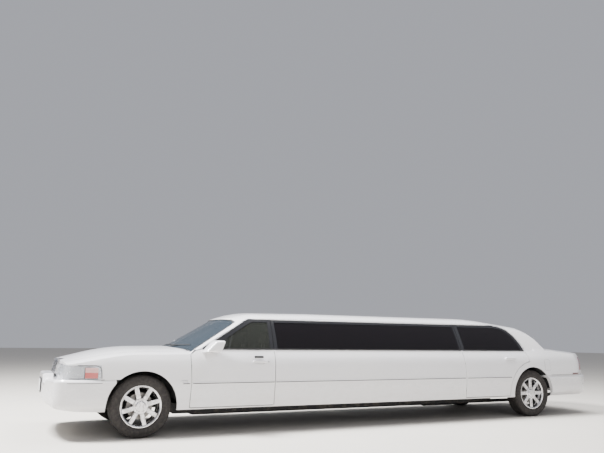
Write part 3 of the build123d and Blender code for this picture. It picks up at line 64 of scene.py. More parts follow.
# Painted panels. Pressed steel and moulded bumper covers, primed and sprayed in one solid white with clear
# lacquer. Towards the bottom the flanks blend, blotched by noise, into a beige of painted road reflection and
# painted shade.
SIDES = ("left", "right")
WHITE = (0.80, 0.79, 0.80, 1)
ROAD_REFLECTION_BEIGE = (0.42, 0.38, 0.33, 1)
FRAME_BLACK = (0.012, 0.012, 0.014, 1)


def new_material(name, color, roughness, metallic=0.0):
    """A material with one shader, and its node tree and shader for the section that shapes it."""
    material = bpy.data.materials.new(name)
    material.use_nodes = True
    shader = material.node_tree.nodes["Principled BSDF"]
    shader.inputs["Base Color"].default_value = color
    shader.inputs["Roughness"].default_value = roughness
    shader.inputs["Metallic"].default_value = metallic
    return material, material.node_tree, shader


def add_node(tree, kind, **values):
    """A node with its settings and unlinked inputs."""
    node = tree.nodes.new(kind)
    for key, value in values.items():
        if key in node.inputs:
            node.inputs[key].default_value = value
        else:
            setattr(node, key, value)
    return node


def noise(tree, scale, detail=4.0, stretch=(1, 1, 1)):
    """Noise on object coordinates, stretched along the axes."""
    place = add_node(tree, "ShaderNodeTexCoord")
    mapping = add_node(tree, "ShaderNodeMapping", Scale=stretch)
    pattern = add_node(tree, "ShaderNodeTexNoise", Scale=scale, Detail=detail)
    tree.links.new(place.outputs["Object"], mapping.inputs["Vector"])
    tree.links.new(mapping.outputs["Vector"], pattern.inputs["Vector"])
    return pattern


def cells(tree, scale, feature="F1", stretch=(1, 1, 1)):
    """A cell pattern on object coordinates."""
    place = add_node(tree, "ShaderNodeTexCoord")
    mapping = add_node(tree, "ShaderNodeMapping", Scale=stretch)
    pattern = add_node(tree, "ShaderNodeTexVoronoi", Scale=scale, feature=feature)
    tree.links.new(place.outputs["Object"], mapping.inputs["Vector"])
    tree.links.new(mapping.outputs["Vector"], pattern.inputs["Vector"])
    return pattern


def bands(tree, scale, direction, waviness=0.0):
    """Level or upright bands on object coordinates."""
    place = add_node(tree, "ShaderNodeTexCoord")
    pattern = add_node(tree, "ShaderNodeTexWave", Scale=scale, Distortion=waviness, bands_direction=direction)
    tree.links.new(place.outputs["Object"], pattern.inputs["Vector"])
    return pattern


def mixed(tree, factor, first, second):
    """A colour between two, by a factor socket. Each colour is a tuple or a socket."""
    mix = add_node(tree, "ShaderNodeMix", data_type="RGBA")
    tree.links.new(factor, mix.inputs["Factor"])
    for socket, color in ((mix.inputs[6], first), (mix.inputs[7], second)):
        if isinstance(color, tuple):
            socket.default_value = color
        else:
            tree.links.new(color, socket)
    return mix.outputs[2]


def remapped(tree, value, low, high, to_low=0.0, to_high=1.0):
    """A value carried from one range to another, clamped."""
    ramp = add_node(tree, "ShaderNodeMapRange")
    tree.links.new(value, ramp.inputs["Value"])
    for name, number in zip(("From Min", "From Max", "To Min", "To Max"), (low, high, to_low, to_high)):
        ramp.inputs[name].default_value = number
    return ramp.outputs["Result"]


def math_node(tree, operation, first, second=0.0):
    """One arithmetic step on sockets or numbers."""
    step = add_node(tree, "ShaderNodeMath", operation=operation)
    for socket, value in zip(step.inputs, (first, second)):
        if isinstance(value, (int, float)):
            socket.default_value = value
        else:
            tree.links.new(value, socket)
    return step.outputs["Value"]


def bumped(tree, shader, height, distance, strength=0.3):
    """Relief from a height socket."""
    bump = add_node(tree, "ShaderNodeBump", Strength=strength, Distance=distance)
    tree.links.new(height, bump.inputs["Height"])
    tree.links.new(bump.outputs["Normal"], shader.inputs["Normal"])


def tinted(tree, shader, factor, first, second):
    """The shader's colour runs between two tints."""
    tree.links.new(mixed(tree, factor, first, second), shader.inputs["Base Color"])


def roughened(tree, shader, pattern, low, high, smooth, rough):
    """The shader's roughness follows a pattern."""
    tree.links.new(remapped(tree, pattern, low, high, smooth, rough), shader.inputs["Roughness"])


def coordinates(tree):
    """The x, y and z of the point on the object."""
    place = add_node(tree, "ShaderNodeTexCoord")
    split = add_node(tree, "ShaderNodeSeparateXYZ")
    tree.links.new(place.outputs["Object"], split.inputs["Vector"])
    return split.outputs["X"], split.outputs["Y"], split.outputs["Z"]


def white_paint(name, black_above=None, black_x=None):
    """White lacquer blended low down into a beige of painted road reflection and painted shade, and a black band beside
    the side windows where it is asked for.
    """
    material, tree, shader = new_material(name, WHITE, 0.2)
    x, y, z = coordinates(tree)
    speckle = noise(tree, 9.0, 6.0, (1, 1, 2.5))
    # Painted light: below 0.74 m the white blends, blotched by noise, into a beige standing for the road's reflection
    # and the shade under the body.
    low = remapped(tree, z, 0.74, 0.30)
    road_reflection_shade = math_node(tree, "MULTIPLY", math_node(tree, "MULTIPLY", low, speckle.outputs["Fac"]), 0.42)
    cloud = noise(tree, 0.8, 2.0)
    tint = mixed(tree, remapped(tree, cloud.outputs["Fac"], 0.3, 0.7), WHITE, (0.78, 0.775, 0.80, 1))
    color = mixed(tree, road_reflection_shade, tint, ROAD_REFLECTION_BEIGE)
    rough = remapped(tree, road_reflection_shade, 0.0, 0.4, 0.18, 0.55)
    if black_above is not None:
        mask = math_node(tree, "GREATER_THAN", z, black_above)
        if black_x is not None:
            mask = math_node(tree, "MULTIPLY", mask, math_node(tree, "LESS_THAN", z, 1.381))
            mask = math_node(tree, "MULTIPLY", mask, math_node(tree, "GREATER_THAN", x, black_x[0]))
            mask = math_node(tree, "MULTIPLY", mask, math_node(tree, "LESS_THAN", x, black_x[1]))
        color = mixed(tree, mask, color, FRAME_BLACK)
    tree.links.new(color, shader.inputs["Base Color"])
    tree.links.new(rough, shader.inputs["Roughness"])
    shader.inputs["Coat Weight"].default_value = 0.8
    shader.inputs["Coat Roughness"].default_value = 0.06
    peel = noise(tree, 260.0, 2.0)
    bumped(tree, shader, peel.outputs["Fac"], 0.0004, 0.08)
    return material


def give(material, *names):
    """The material to CAD nodes."""
    for name in names:
        nodes[name].data.materials.clear()
        nodes[name].data.materials.append(material)


PANELS = ["hood", "cowl", "front_bumper", "rear_bumper", "trunk_lid", "parcel_shelf"]
for side in SIDES:
    PANELS += ["front_fender_" + side, "quarter_" + side, "side_panel_" + side, "mirror_" + side]
white_lacquer = white_paint("white_lacquer")
give(white_lacquer, *PANELS)
give(white_paint("white_roof", 0.99, (-1.60, 1.52)), "roof")
give(white_paint("white_door", 0.998), *[f"door_{place}_{side}" for place in ("front", "rear") for side in SIDES])

# Glass. The passengers' glass is nearly black, the front doors' is lightly tinted, and the windscreen has a
# faint blue-green cast. All of it is toughened or laminated sheet bonded into the body.
GLASS_TINTS = (
    (
        "cabin_glass", (0.006, 0.005, 0.006, 1), 0.03,
        ["side_windows", "rear_window", "glass_rear_left", "glass_rear_right"],
    ),
    ("door_glass", (0.030, 0.032, 0.028, 1), 0.42, ["glass_front_left", "glass_front_right"]),
    ("screen_glass", (0.030, 0.042, 0.055, 1), 0.45, ["windshield"]),
)
for name, color, clear, glass_nodes in GLASS_TINTS:
    material, tree, shader = new_material(name, color, 0.04)
    shader.inputs["Alpha"].default_value = 1 - clear
    shader.inputs["Specular IOR Level"].default_value = 0.22
    shader.inputs["Coat Weight"].default_value = 0.12
    shader.inputs["Coat Roughness"].default_value = 0.02
    haze = noise(tree, 1.6, 3.0)
    roughened(tree, shader, haze.outputs["Fac"], 0.3, 0.8, 0.02, 0.09)
    material.surface_render_method = "BLENDED"
    give(material, *glass_nodes)
    if name == "door_glass":
        door_tint = material

# Dark steel and plastic under and inside the car: frame, axles, floor, liners and engine, painted or bare and
# dusty from the road.
dark_steel, tree, shader = new_material("dusty_black_steel", (0.02, 0.02, 0.022, 1), 0.6, 0.3)
grime = noise(tree, 14.0, 6.0)
tinted(
    tree, shader, remapped(tree, grime.outputs["Fac"], 0.45, 0.75),
    (0.016, 0.016, 0.018, 1), (0.07, 0.06, 0.05, 1),
)
bumped(tree, shader, grime.outputs["Fac"], 0.002, 0.3)
give(dark_steel, "chassis_frame", "front_suspension", "rear_axle", "knuckle_left", "knuckle_right", "radiator_support")
give(dark_steel, "floor_pan", "engine", "drive_shaft", "exhaust")

black_plastic, tree, shader = new_material("grained_black_plastic", (0.018, 0.018, 0.019, 1), 0.62)
grain = noise(tree, 420.0, 3.0)
bumped(tree, shader, grain.outputs["Fac"], 0.0008, 0.35)
give(black_plastic, "wheel_liners", "dashboard", "steering_wheel", "fuel_tank")

black_leather, tree, shader = new_material("black_leather", (0.03, 0.028, 0.028, 1), 0.45)
creases = cells(tree, 240.0, "DISTANCE_TO_EDGE")
tone = noise(tree, 7.0, 3.0)
tinted(
    tree, shader, remapped(tree, tone.outputs["Fac"], 0.3, 0.75),
    (0.022, 0.020, 0.020, 1), (0.042, 0.038, 0.037, 1),
)
bumped(tree, shader, creases.outputs["Distance"], 0.0006, 0.12)
give(black_leather, "front_seats", "rear_seat", "partition", "side_bench")

# Chrome: the grille and the wheels' cast rims are bright plated metal with a little dust.
chrome, tree, shader = new_material("bright_chrome", (0.86, 0.86, 0.88, 1), 0.08, 1.0)
smear = noise(tree, 22.0, 4.0)
roughened(tree, shader, smear.outputs["Fac"], 0.35, 0.8, 0.07, 0.3)
give(chrome, "grille")

wheel_chrome, tree, shader = new_material("plated_wheel", (0.74, 0.74, 0.76, 1), 0.2, 1.0)
brake_dust = noise(tree, 30.0, 5.0)
tinted(
    tree, shader, remapped(tree, brake_dust.outputs["Fac"], 0.45, 0.75),
    (0.78, 0.78, 0.80, 1), (0.42, 0.40, 0.37, 1),
)
roughened(tree, shader, brake_dust.outputs["Fac"], 0.3, 0.8, 0.14, 0.42)
WHEEL_PLACES = ("front_left", "front_right", "rear_left", "rear_right")
give(wheel_chrome, *["rim_" + place for place in WHEEL_PLACES])

# Mouldings. A body-coloured strip with a black line of painted shade along it, standing for the shadow at the
# moulding, runs along fender, door, panel and door at knee height, clipped on in one length per panel. Each length
# rides with its panel.
FRONT_AXLE = -3.215
REAR_AXLE = 2.823
RUB_HEIGHTS = (0.590, 0.618)
RUB_PROUD = 0.005
RUB_SHADE_LINE_HEIGHTS = (0.5985, 0.6075)
# Piece, body of the left side, first and last x
RUB_LENGTHS = (
    ("fender", "root", -2.761, -2.6745),
    ("front_door", "front_door_left", -2.644, -1.590),
    ("panel", "root", -1.5735, 1.465),
    ("rear_door", "rear_door_left", 1.497, 2.362),
)


def active_piece(name):
    """The new primitive, named, with its place and size in its mesh."""
    piece = bpy.context.object
    piece.name = piece.data.name = name
    bpy.ops.object.transform_apply(location=True, rotation=True, scale=True)
    return piece


def bar(name, low, high, rounding=0.0, segments=2):
    """A bar between two corners with rounded edges."""
    bpy.ops.object.select_all(action="DESELECT")
    bpy.ops.mesh.primitive_cube_add(size=1, location=[(a + b) / 2 for a, b in zip(low, high)])
    bpy.context.object.scale = [b - a for a, b in zip(low, high)]
    piece = active_piece(name)
    if rounding:
        bpy.ops.object.mode_set(mode="EDIT")
        bpy.ops.mesh.select_all(action="SELECT")
        bpy.ops.mesh.bevel(offset=rounding, segments=segments, affect="EDGES")
        bpy.ops.object.mode_set(mode="OBJECT")
    return piece


def fitted(piece, material, body, slot, *hidden, smooth=32.0):
    """The finished piece with its material, its body and the CAD nodes that it stands for. The slot is not used."""
    bpy.ops.object.select_all(action="DESELECT")
    piece.select_set(True)
    bpy.context.view_layer.objects.active = piece
    piece.data.materials.clear()
    piece.data.materials.append(material)
    bpy.ops.object.shade_smooth_by_angle(angle=math.radians(smooth))
    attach(piece, body)
    if hidden:
        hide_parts(*hidden)
    return piece


def on_other_side(piece, material, body, slot, *hidden, smooth=32.0):
    """The piece's mirror image on the car's right side, with its own mesh."""
    twin = piece.copy()
    twin.data = piece.data.copy()
    twin.name = twin.data.name = piece.name.replace("_left", "_right")
    bpy.context.collection.objects.link(twin)
    twin.parent = None
    twin.matrix_world = Matrix.Identity(4)
    twin.data.transform(Matrix.Diagonal((1, -1, 1, 1)))
    twin.data.flip_normals()
    for key in [key for key in twin.keys() if key.startswith("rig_")]:
        del twin[key]
    return fitted(twin, material, body, slot, *hidden, smooth=smooth)


def both_sides(piece, material, body, slot, hidden=(), smooth=32.0):
    """A left piece and its right twin, each on its own side's body and in place of its own side's nodes."""
    fitted(piece, material, body, slot, *hidden, smooth=smooth)
    right_body = body.replace("left", "right")
    right_hidden = [name.replace("left", "right") for name in hidden]
    return piece, on_other_side(piece, material, right_body, slot, *right_hidden, smooth=smooth)


def on_surface(targets, origin, direction):
    """Where a ray first meets one of the CAD nodes."""
    best = None
    for name in targets:
        hit, place, normal, _ = nodes[name].ray_cast(Vector(origin), Vector(direction))
        if hit and (best is None or (place - Vector(origin)).length < (best - Vector(origin)).length):
            best = place
    return best


def moulding(name, targets, route, radius, direction=(0, 1, 0), start=(None, -1.6, None), lift=0.0, closed=False):
    """A rounded bead laid along a panel: its route is seen along the direction and falls on the panel."""
    points = []
    for route_point in route:
        numbers = iter(route_point)
        origin = [next(numbers) if value is None else value for value in start]
        place = on_surface(targets, origin, direction)
        if place is not None:
            points.append(place - Vector(direction) * lift)
    bpy.ops.object.select_all(action="DESELECT")
    bpy.ops.curve.primitive_nurbs_path_add(location=(0, 0, 0))
    piece = bpy.context.object
    piece.name = piece.data.name = name
    curve = piece.data
    curve.splines.clear()
    spline = curve.splines.new("POLY")
    spline.points.add(len(points) - 1)
    for spline_point, place in zip(spline.points, points):
        spline_point.co = (*place, 1.0)
    spline.use_cyclic_u = closed
    curve.bevel_depth = radius
    curve.bevel_resolution = 2
    curve.use_fill_caps = not closed
    bpy.ops.object.convert(target="MESH")
    return bpy.context.object


def stepped(corners, step):
    """A route through the corners, with a point at least every step."""
    route = [corners[0]]
    for first, second in zip(corners, corners[1:]):
        count = max(1, math.ceil(math.dist(first, second) / step))
        route += [tuple(a + (b - a) * i / count for a, b in zip(first, second)) for i in range(1, count + 1)]
    return route


black_rubber, tree, shader = new_material("black_rubber_seal", (0.012, 0.012, 0.012, 1), 0.55)
grit = noise(tree, 300.0, 3.0)
tinted(
    tree, shader, remapped(tree, grit.outputs["Fac"], 0.4, 0.75),
    (0.010, 0.010, 0.011, 1), (0.035, 0.033, 0.031, 1),
)
bumped(tree, shader, grit.outputs["Fac"], 0.0004, 0.25)
for place, body, x_first, x_last in RUB_LENGTHS:
    strip = bar(
        f"rub_strip_{place}_left", (x_first, -0.985 - RUB_PROUD, RUB_HEIGHTS[0]),
        (x_last, -0.978, RUB_HEIGHTS[1]), 0.0035, 3,
    )
    both_sides(strip, white_lacquer, body, "white_paint")
    # The black line is painted shade: a dark strip standing for the shadow along the moulding.
    line = bar(
        f"rub_line_{place}_left", (x_first + 0.004, -0.9865 - RUB_PROUD, RUB_SHADE_LINE_HEIGHTS[0]),
        (x_last - 0.004, -0.982, RUB_SHADE_LINE_HEIGHTS[1]), 0.001,
    )
    both_sides(line, black_rubber, body, "black_plastic")

# Drip rail: a thin bright steel moulding clipped over the gutter, from the foot of the windscreen pillar along
# the roof's edge and down behind the rear door.
bright_trim, tree, shader = new_material("brushed_bright_trim", (0.62, 0.62, 0.64, 1), 0.28, 1.0)
brushed = noise(tree, 60.0, 3.0, (0.2, 6.0, 6.0))
roughened(tree, shader, brushed.outputs["Fac"], 0.3, 0.8, 0.2, 0.42)
DRIP_CORNERS = [
    (FRONT_AXLE + 0.700, 1.016), (FRONT_AXLE + 1.292, 1.362), (FRONT_AXLE + 1.330, 1.378), (FRONT_AXLE + 1.372, 1.3875),
    (REAR_AXLE - 0.560, 1.3875), (REAR_AXLE - 0.480, 1.382), (REAR_AXLE - 0.412, 1.370), (REAR_AXLE - 0.350, 1.348),
    (REAR_AXLE - 0.298, 1.322), (REAR_AXLE - 0.192, 1.227), (REAR_AXLE - 0.122, 1.116), (REAR_AXLE - 0.080, 1.014),
]
rail = moulding("drip_rail_left", ["roof"], stepped(DRIP_CORNERS, 0.09), 0.0055, lift=0.001)
both_sides(rail, bright_trim, "root", "grille_chrome")

# Glass run and belt line: a bright strip with a black wiper seal at the foot of the side glass, split with the
# doors.
BELT_LENGTHS = (
    ("front_door", "front_door_left", "door_front_left", -2.498, -1.584),
    ("panel", "root", "side_panel_left", -1.562, 1.462),
    ("rear_door", "rear_door_left", "door_rear_left", 1.488, 2.716),
)
for place, body, node, x_first, x_last in BELT_LENGTHS:
    route = stepped([(x_first, 0.9915), (x_last, 0.9915)], 0.25)
    strip = moulding(f"belt_strip_{place}_left", [node], route, 0.0045, lift=0.001)
    both_sides(strip, bright_trim, body, "grille_chrome")
    seal = bar(f"belt_seal_{place}_left", (x_first, -0.899, 0.9955), (x_last, -0.880, 1.0095), 0.003)
    both_sides(seal, black_rubber, body, "black_plastic")


# Door mirrors: a moulded wedge on a short foot at the front corner of each front window, painted in body colour,
# with the mirror glass let into its back.
MIRROR_CORNERS = (
    # x front, x rear, half of the housing: low inner, low outer, high inner, high outer
    (-2.548, -2.322, 0.961, -0.905),
    (-2.530, -2.330, 0.966, -1.092),
    (-2.408, -2.266, 1.110, -0.912),
    (-2.392, -2.276, 1.102, -1.088),
)
bpy.ops.object.select_all(action="DESELECT")
bpy.ops.mesh.primitive_cube_add(size=2, location=(0, 0, 0))
housing = active_piece("mirror_housing_left")
for vertex in housing.data.vertices:
    low = vertex.co.z < 0
    outer = vertex.co.y < 0
    front_x, rear_x, height, across = MIRROR_CORNERS[(0 if low else 2) + (1 if outer else 0)]
    vertex.co = (front_x if vertex.co.x < 0 else rear_x, across, height)
bpy.ops.object.mode_set(mode="EDIT")
bpy.ops.mesh.select_all(action="SELECT")
bpy.ops.mesh.bevel(offset=0.026, segments=4, affect="EDGES")
bpy.ops.mesh.select_all(action="DESELECT")
bpy.ops.object.mode_set(mode="OBJECT")
back = max(housing.data.polygons, key=lambda face: face.normal.x * face.area)
back.select = True
bpy.ops.object.mode_set(mode="EDIT")
bpy.ops.mesh.inset(thickness=0.004, depth=0.0)
bpy.ops.mesh.inset(thickness=0.002, depth=-0.008)
bpy.ops.object.mode_set(mode="OBJECT")
both_sides(housing, white_lacquer, "front_door_left", "white_paint", ["mirror_left"], smooth=50.0)
foot = bar("mirror_foot_left", (-2.482, -0.925, 0.984), (-2.400, -0.878, 1.020), 0.008, 3)
both_sides(foot, black_rubber, "front_door_left", "black_plastic")
silvered, tree, shader = new_material("silvered_glass", (0.72, 0.74, 0.76, 1), 0.03, 1.0)
film = noise(tree, 12.0, 3.0)
roughened(tree, shader, film.outputs["Fac"], 0.3, 0.8, 0.02, 0.08)
back = max(housing.data.polygons, key=lambda face: face.normal.x * face.area)
back_corners = [housing.data.vertices[index].co.copy() for index in back.vertices]
back_normal = back.normal.copy()
back_middle = sum(back_corners, Vector()) / len(back_corners)
bpy.ops.object.select_all(action="DESELECT")
bpy.ops.mesh.primitive_circle_add(vertices=len(back_corners), radius=0.05, fill_type="NGON")
glass = active_piece("mirror_glass_left")
for vertex, corner in zip(glass.data.vertices, back_corners):
    vertex.co = back_middle + (corner - back_middle) * 0.97 + back_normal * 0.0008
glass.data.update()
if glass.data.polygons[0].normal.dot(back_normal) < 0:
    glass.data.flip_normals()
bpy.ops.object.mode_set(mode="EDIT")
bpy.ops.mesh.select_all(action="SELECT")
bpy.ops.mesh.extrude_region_move(TRANSFORM_OT_translate={"value": back_normal * 0.002})
bpy.ops.mesh.select_all(action="SELECT")
bpy.ops.mesh.normals_make_consistent(inside=False)
bpy.ops.object.mode_set(mode="OBJECT")
both_sides(glass, silvered, "front_door_left", "grille_chrome")

# Front door furniture: a black keypad over the left handle, five blank rubber keys on a bezel, and a round lock
# by each handle. The blank badge on each fender is a small bright bar.
keypad = bar("keypad_bezel", (-1.859, -0.977, 0.897), (-1.744, -0.955, 0.923), 0.003, 3)
fitted(keypad, black_rubber, "front_door_left", "black_plastic")
for number in range(5):
    key_x = -1.8525 + number * 0.0206
    key = bar(f"keypad_key_{number + 1}", (key_x, -0.9795, 0.902), (key_x + 0.0175, -0.972, 0.918), 0.0015, 2)
    fitted(key, black_plastic, "front_door_left", "black_plastic")
badge = bar("fender_badge_left", (-2.791, -0.9885, 0.626), (-2.703, -0.978, 0.639), 0.0022, 2)
both_sides(badge, bright_trim, "root", "grille_chrome")
for place, body, lock_x, lock_z in (
    ("front", "front_door_left", -1.672, 0.852), ("rear", "rear_door_left", 2.484, 0.886)
):
    bpy.ops.object.select_all(action="DESELECT")
    depth_y = on_surface([f"door_{place}_left"], (lock_x, -1.6, lock_z), (0, 1, 0)).y
    bpy.ops.mesh.primitive_cylinder_add(
        vertices=32, radius=0.011, depth=0.010, location=(lock_x, depth_y, lock_z), rotation=(math.radians(90), 0, 0)
    )
    lock = active_piece(f"door_lock_{place}_left")
    lock.data.polygons.foreach_set("select", [face.normal.y < -0.9 for face in lock.data.polygons])
    bpy.ops.object.mode_set(mode="EDIT")
    bpy.ops.mesh.inset(thickness=0.002, depth=0.001)
    bpy.ops.mesh.inset(thickness=0.005, depth=-0.0015)
    bpy.ops.object.mode_set(mode="OBJECT")
    both_sides(lock, bright_trim, body, "grille_chrome")

# Fuel flap and rear reflectors: a body-coloured flap behind the rear wheel on the left, outlined by a black plate of
# painted shade that stands for the shadow in its shut line, and a slim red reflector above the rear bumper on each
# side.


def laid_plate(name, targets, x_span, z_span, thickness, sink=0.001, rounding=0.0, corner=0.0, cuts=14, side_y=-1.6):
    """A thin plate with rounded corners wrapped on a panel and standing proud of it."""
    (x_low, x_high), (z_low, z_high) = x_span, z_span
    bpy.ops.object.select_all(action="DESELECT")
    middle = ((x_low + x_high) / 2, 0, (z_low + z_high) / 2)
    bpy.ops.mesh.primitive_plane_add(size=1, location=middle, rotation=(math.radians(90), 0, 0))
    bpy.context.object.scale = (x_high - x_low, z_high - z_low, 1)
    piece = active_piece(name)
    bpy.ops.object.mode_set(mode="EDIT")
    bpy.ops.mesh.select_all(action="SELECT")
    if corner:
        bpy.ops.mesh.bevel(offset=corner, segments=4, affect="VERTICES")
    step = (x_high - x_low) / cuts
    for index in range(1, cuts):
        bpy.ops.mesh.select_all(action="SELECT")
        bpy.ops.mesh.bisect(plane_co=(x_low + index * step, 0, 0), plane_no=(1, 0, 0))
    rows = max(1, round((z_high - z_low) / max(step, 0.01)))
    for index in range(1, rows):
        bpy.ops.mesh.select_all(action="SELECT")
        bpy.ops.mesh.bisect(plane_co=(0, 0, z_low + index * (z_high - z_low) / rows), plane_no=(0, 0, 1))
    bpy.ops.object.mode_set(mode="OBJECT")
    for vertex in piece.data.vertices:
        place = on_surface(targets, (vertex.co.x, side_y, vertex.co.z), (0, 1, 0))
        vertex.co.y = place.y + sink if place else vertex.co.y
    known = [vertex.co.y for vertex in piece.data.vertices if abs(vertex.co.y) > 1e-6]
    for vertex in piece.data.vertices:
        if abs(vertex.co.y) <= 1e-6:
            vertex.co.y = sum(known) / len(known)
    wall = piece.modifiers.new("thickness", "SOLIDIFY")
    wall.thickness = thickness + sink
    wall.offset = 1.0
    bpy.ops.object.modifier_apply(modifier="thickness")
    if rounding:
        edge = piece.modifiers.new("edge", "BEVEL")
        edge.width = rounding
        edge.segments = 2
        edge.limit_method = "ANGLE"
        edge.angle_limit = math.radians(60)
        bpy.ops.object.modifier_apply(modifier="edge")
    return piece


FLAP_X = (REAR_AXLE + 0.261, REAR_AXLE + 0.384)
FLAP_Z = (0.700, 0.862)
# Painted shade: a black plate a little larger than the flap, standing for the shadow in the gap round it.
flap_gap_shade = laid_plate(
    "fuel_flap_seam", ["quarter_left"],
    (FLAP_X[0] - 0.0025, FLAP_X[1] + 0.0025), (FLAP_Z[0] - 0.0025, FLAP_Z[1] + 0.0025),
    0.0006, corner=0.022,
)
fitted(flap_gap_shade, black_rubber, "root", "black_plastic")
flap = laid_plate("fuel_flap", ["quarter_left"], FLAP_X, FLAP_Z, 0.0018, rounding=0.0008, corner=0.020)
fitted(flap, white_lacquer, "root", "white_paint")
red_reflector, tree, shader = new_material("red_reflector", (0.15, 0.020, 0.022, 1), 0.16)
facets = cells(tree, 260.0)
tinted(tree, shader, facets.outputs["Distance"], (0.15, 0.020, 0.022, 1), (0.08, 0.010, 0.012, 1))
bumped(tree, shader, facets.outputs["Distance"], 0.0006, 0.3)
shader.inputs["Coat Weight"].default_value = 1.0
marker = laid_plate(
    "rear_reflector_left", ["quarter_left", "rear_bumper"],
    (REAR_AXLE + 0.905, REAR_AXLE + 1.065), (0.632, 0.650), 0.004,
    rounding=0.0015, corner=0.004,
)
both_sides(marker, red_reflector, "root", "red_lens")

# Bumper lines: a black bead of painted shade lies in the seam between each bumper cover and the wing above it, and in
# the step along the cover's side, standing for the shadow there.
for name, nodes_under, corners in (
    ("front_bumper_line_left", ["front_bumper"], [(-4.030, 0.620), (-3.665, 0.622)]),
    ("front_bumper_seam_left", ["front_fender_left", "front_bumper"], [(-3.680, 0.6585), (-3.640, 0.6585)]),
    ("rear_bumper_seam_left", ["quarter_left"], [(REAR_AXLE + 0.392, 0.6255), (REAR_AXLE + 1.20, 0.6255)]),
):
    # Painted shade: each black bead stands for the shadow in a seam or step.
    bead = moulding(name, nodes_under, stepped(corners, 0.04), 0.0028, lift=-0.0004)
    both_sides(bead, black_rubber, "root", "black_plastic")


# Nose. Each lamp is a clear moulded cover over a bright reflector housing with two bowls, edged by black rubber
# where it meets the wing. Its side holds a two-tone marker, pale above and deep pink-red below.
lens, tree, shader = new_material("clear_lens", (0.90, 0.92, 0.94, 1), 0.04)
shader.inputs["Alpha"].default_value = 0.20
shader.inputs["Coat Weight"].default_value = 1.0
ribs = bands(tree, 14.0, "Y")
bumped(tree, shader, ribs.outputs["Fac"], 0.0015, 0.12)
lens.surface_render_method = "BLENDED"
give(lens, "headlamp_lenses")
reflector, tree, shader = new_material("lamp_reflector", (0.66, 0.67, 0.70, 1), 0.10, 0.95)
frost = noise(tree, 36.0, 4.0)
roughened(tree, shader, frost.outputs["Fac"], 0.3, 0.8, 0.1, 0.34)
give(reflector, "headlamps")
LAMP_EDGE = [
    (-3.930, 0.8145), (-3.740, 0.8135), (-3.712, 0.806), (-3.690, 0.790),
    (-3.680, 0.760), (-3.676, 0.720), (-3.674, 0.672),
]
edge = moulding(
    "lamp_seal_left", ["headlamp_lenses", "front_fender_left", "hood"], stepped(LAMP_EDGE, 0.04), 0.0042, lift=0.0006
)
both_sides(edge, black_rubber, "root", "black_plastic")
edge = moulding(
    "lamp_foot_seal_left", ["headlamp_lenses", "front_bumper"],
    stepped([(-4.010, 0.668), (-3.676, 0.668)], 0.04), 0.0038,
    lift=0.0006,
)
both_sides(edge, black_rubber, "root", "black_plastic")
MARKER_X = (FRONT_AXLE - 0.636, FRONT_AXLE - 0.500)
for name, heights, color in (
    ("upper", (0.7385, 0.790), (0.80, 0.50, 0.48, 1)), ("lower", (0.676, 0.7375), (0.62, 0.16, 0.15, 1))
):
    tint, tree, shader = new_material("marker_lens_" + name, color, 0.14)
    prisms = cells(tree, 190.0)
    shade = tuple(0.72 * channel for channel in color[:3]) + (1,)
    tinted(tree, shader, prisms.outputs["Distance"], color, shade)
    bumped(tree, shader, prisms.outputs["Distance"], 0.0006, 0.3)
    shader.inputs["Coat Weight"].default_value = 1.0
    plate = laid_plate(
        f"side_marker_{name}_left", ["headlamp_lenses", "front_fender_left"],
        MARKER_X, heights, 0.0022, rounding=0.0008,
        corner=0.004,
    )
    both_sides(plate, tint, "root", "red_lens")
EDGE_X, MARKER_LOW, MARKER_HIGH = MARKER_X[0] - 0.003, 0.676, 0.790
frame = moulding(
    "side_marker_edge_left", ["headlamp_lenses"],
    stepped([(EDGE_X, MARKER_LOW), (EDGE_X, MARKER_HIGH)], 0.02), 0.0034, lift=0.0006,
)
both_sides(frame, black_rubber, "root", "black_plastic")

# Grille back: a black radiator core with fins and side tanks, behind the upright bars.
core_black, tree, shader = new_material("radiator_black", (0.015, 0.015, 0.016, 1), 0.5, 0.4)
fins = bands(tree, 60.0, "Z")
tinted(tree, shader, fins.outputs["Fac"], (0.008, 0.008, 0.008, 1), (0.05, 0.05, 0.05, 1))
bumped(tree, shader, fins.outputs["Fac"], 0.004, 0.8)
core = bar("radiator_core", (-3.985, -0.352, 0.412), (-3.955, 0.352, 0.728), 0.006, 2)
fitted(core, core_black, "root", "black_plastic")
for index, y in enumerate((-0.345, 0.305)):
    tank = bar(f"radiator_tank_{index + 1}", (-3.992, y, 0.408), (-3.950, y + 0.04, 0.732), 0.010, 3)
    fitted(tank, black_plastic, "root", "black_plastic")

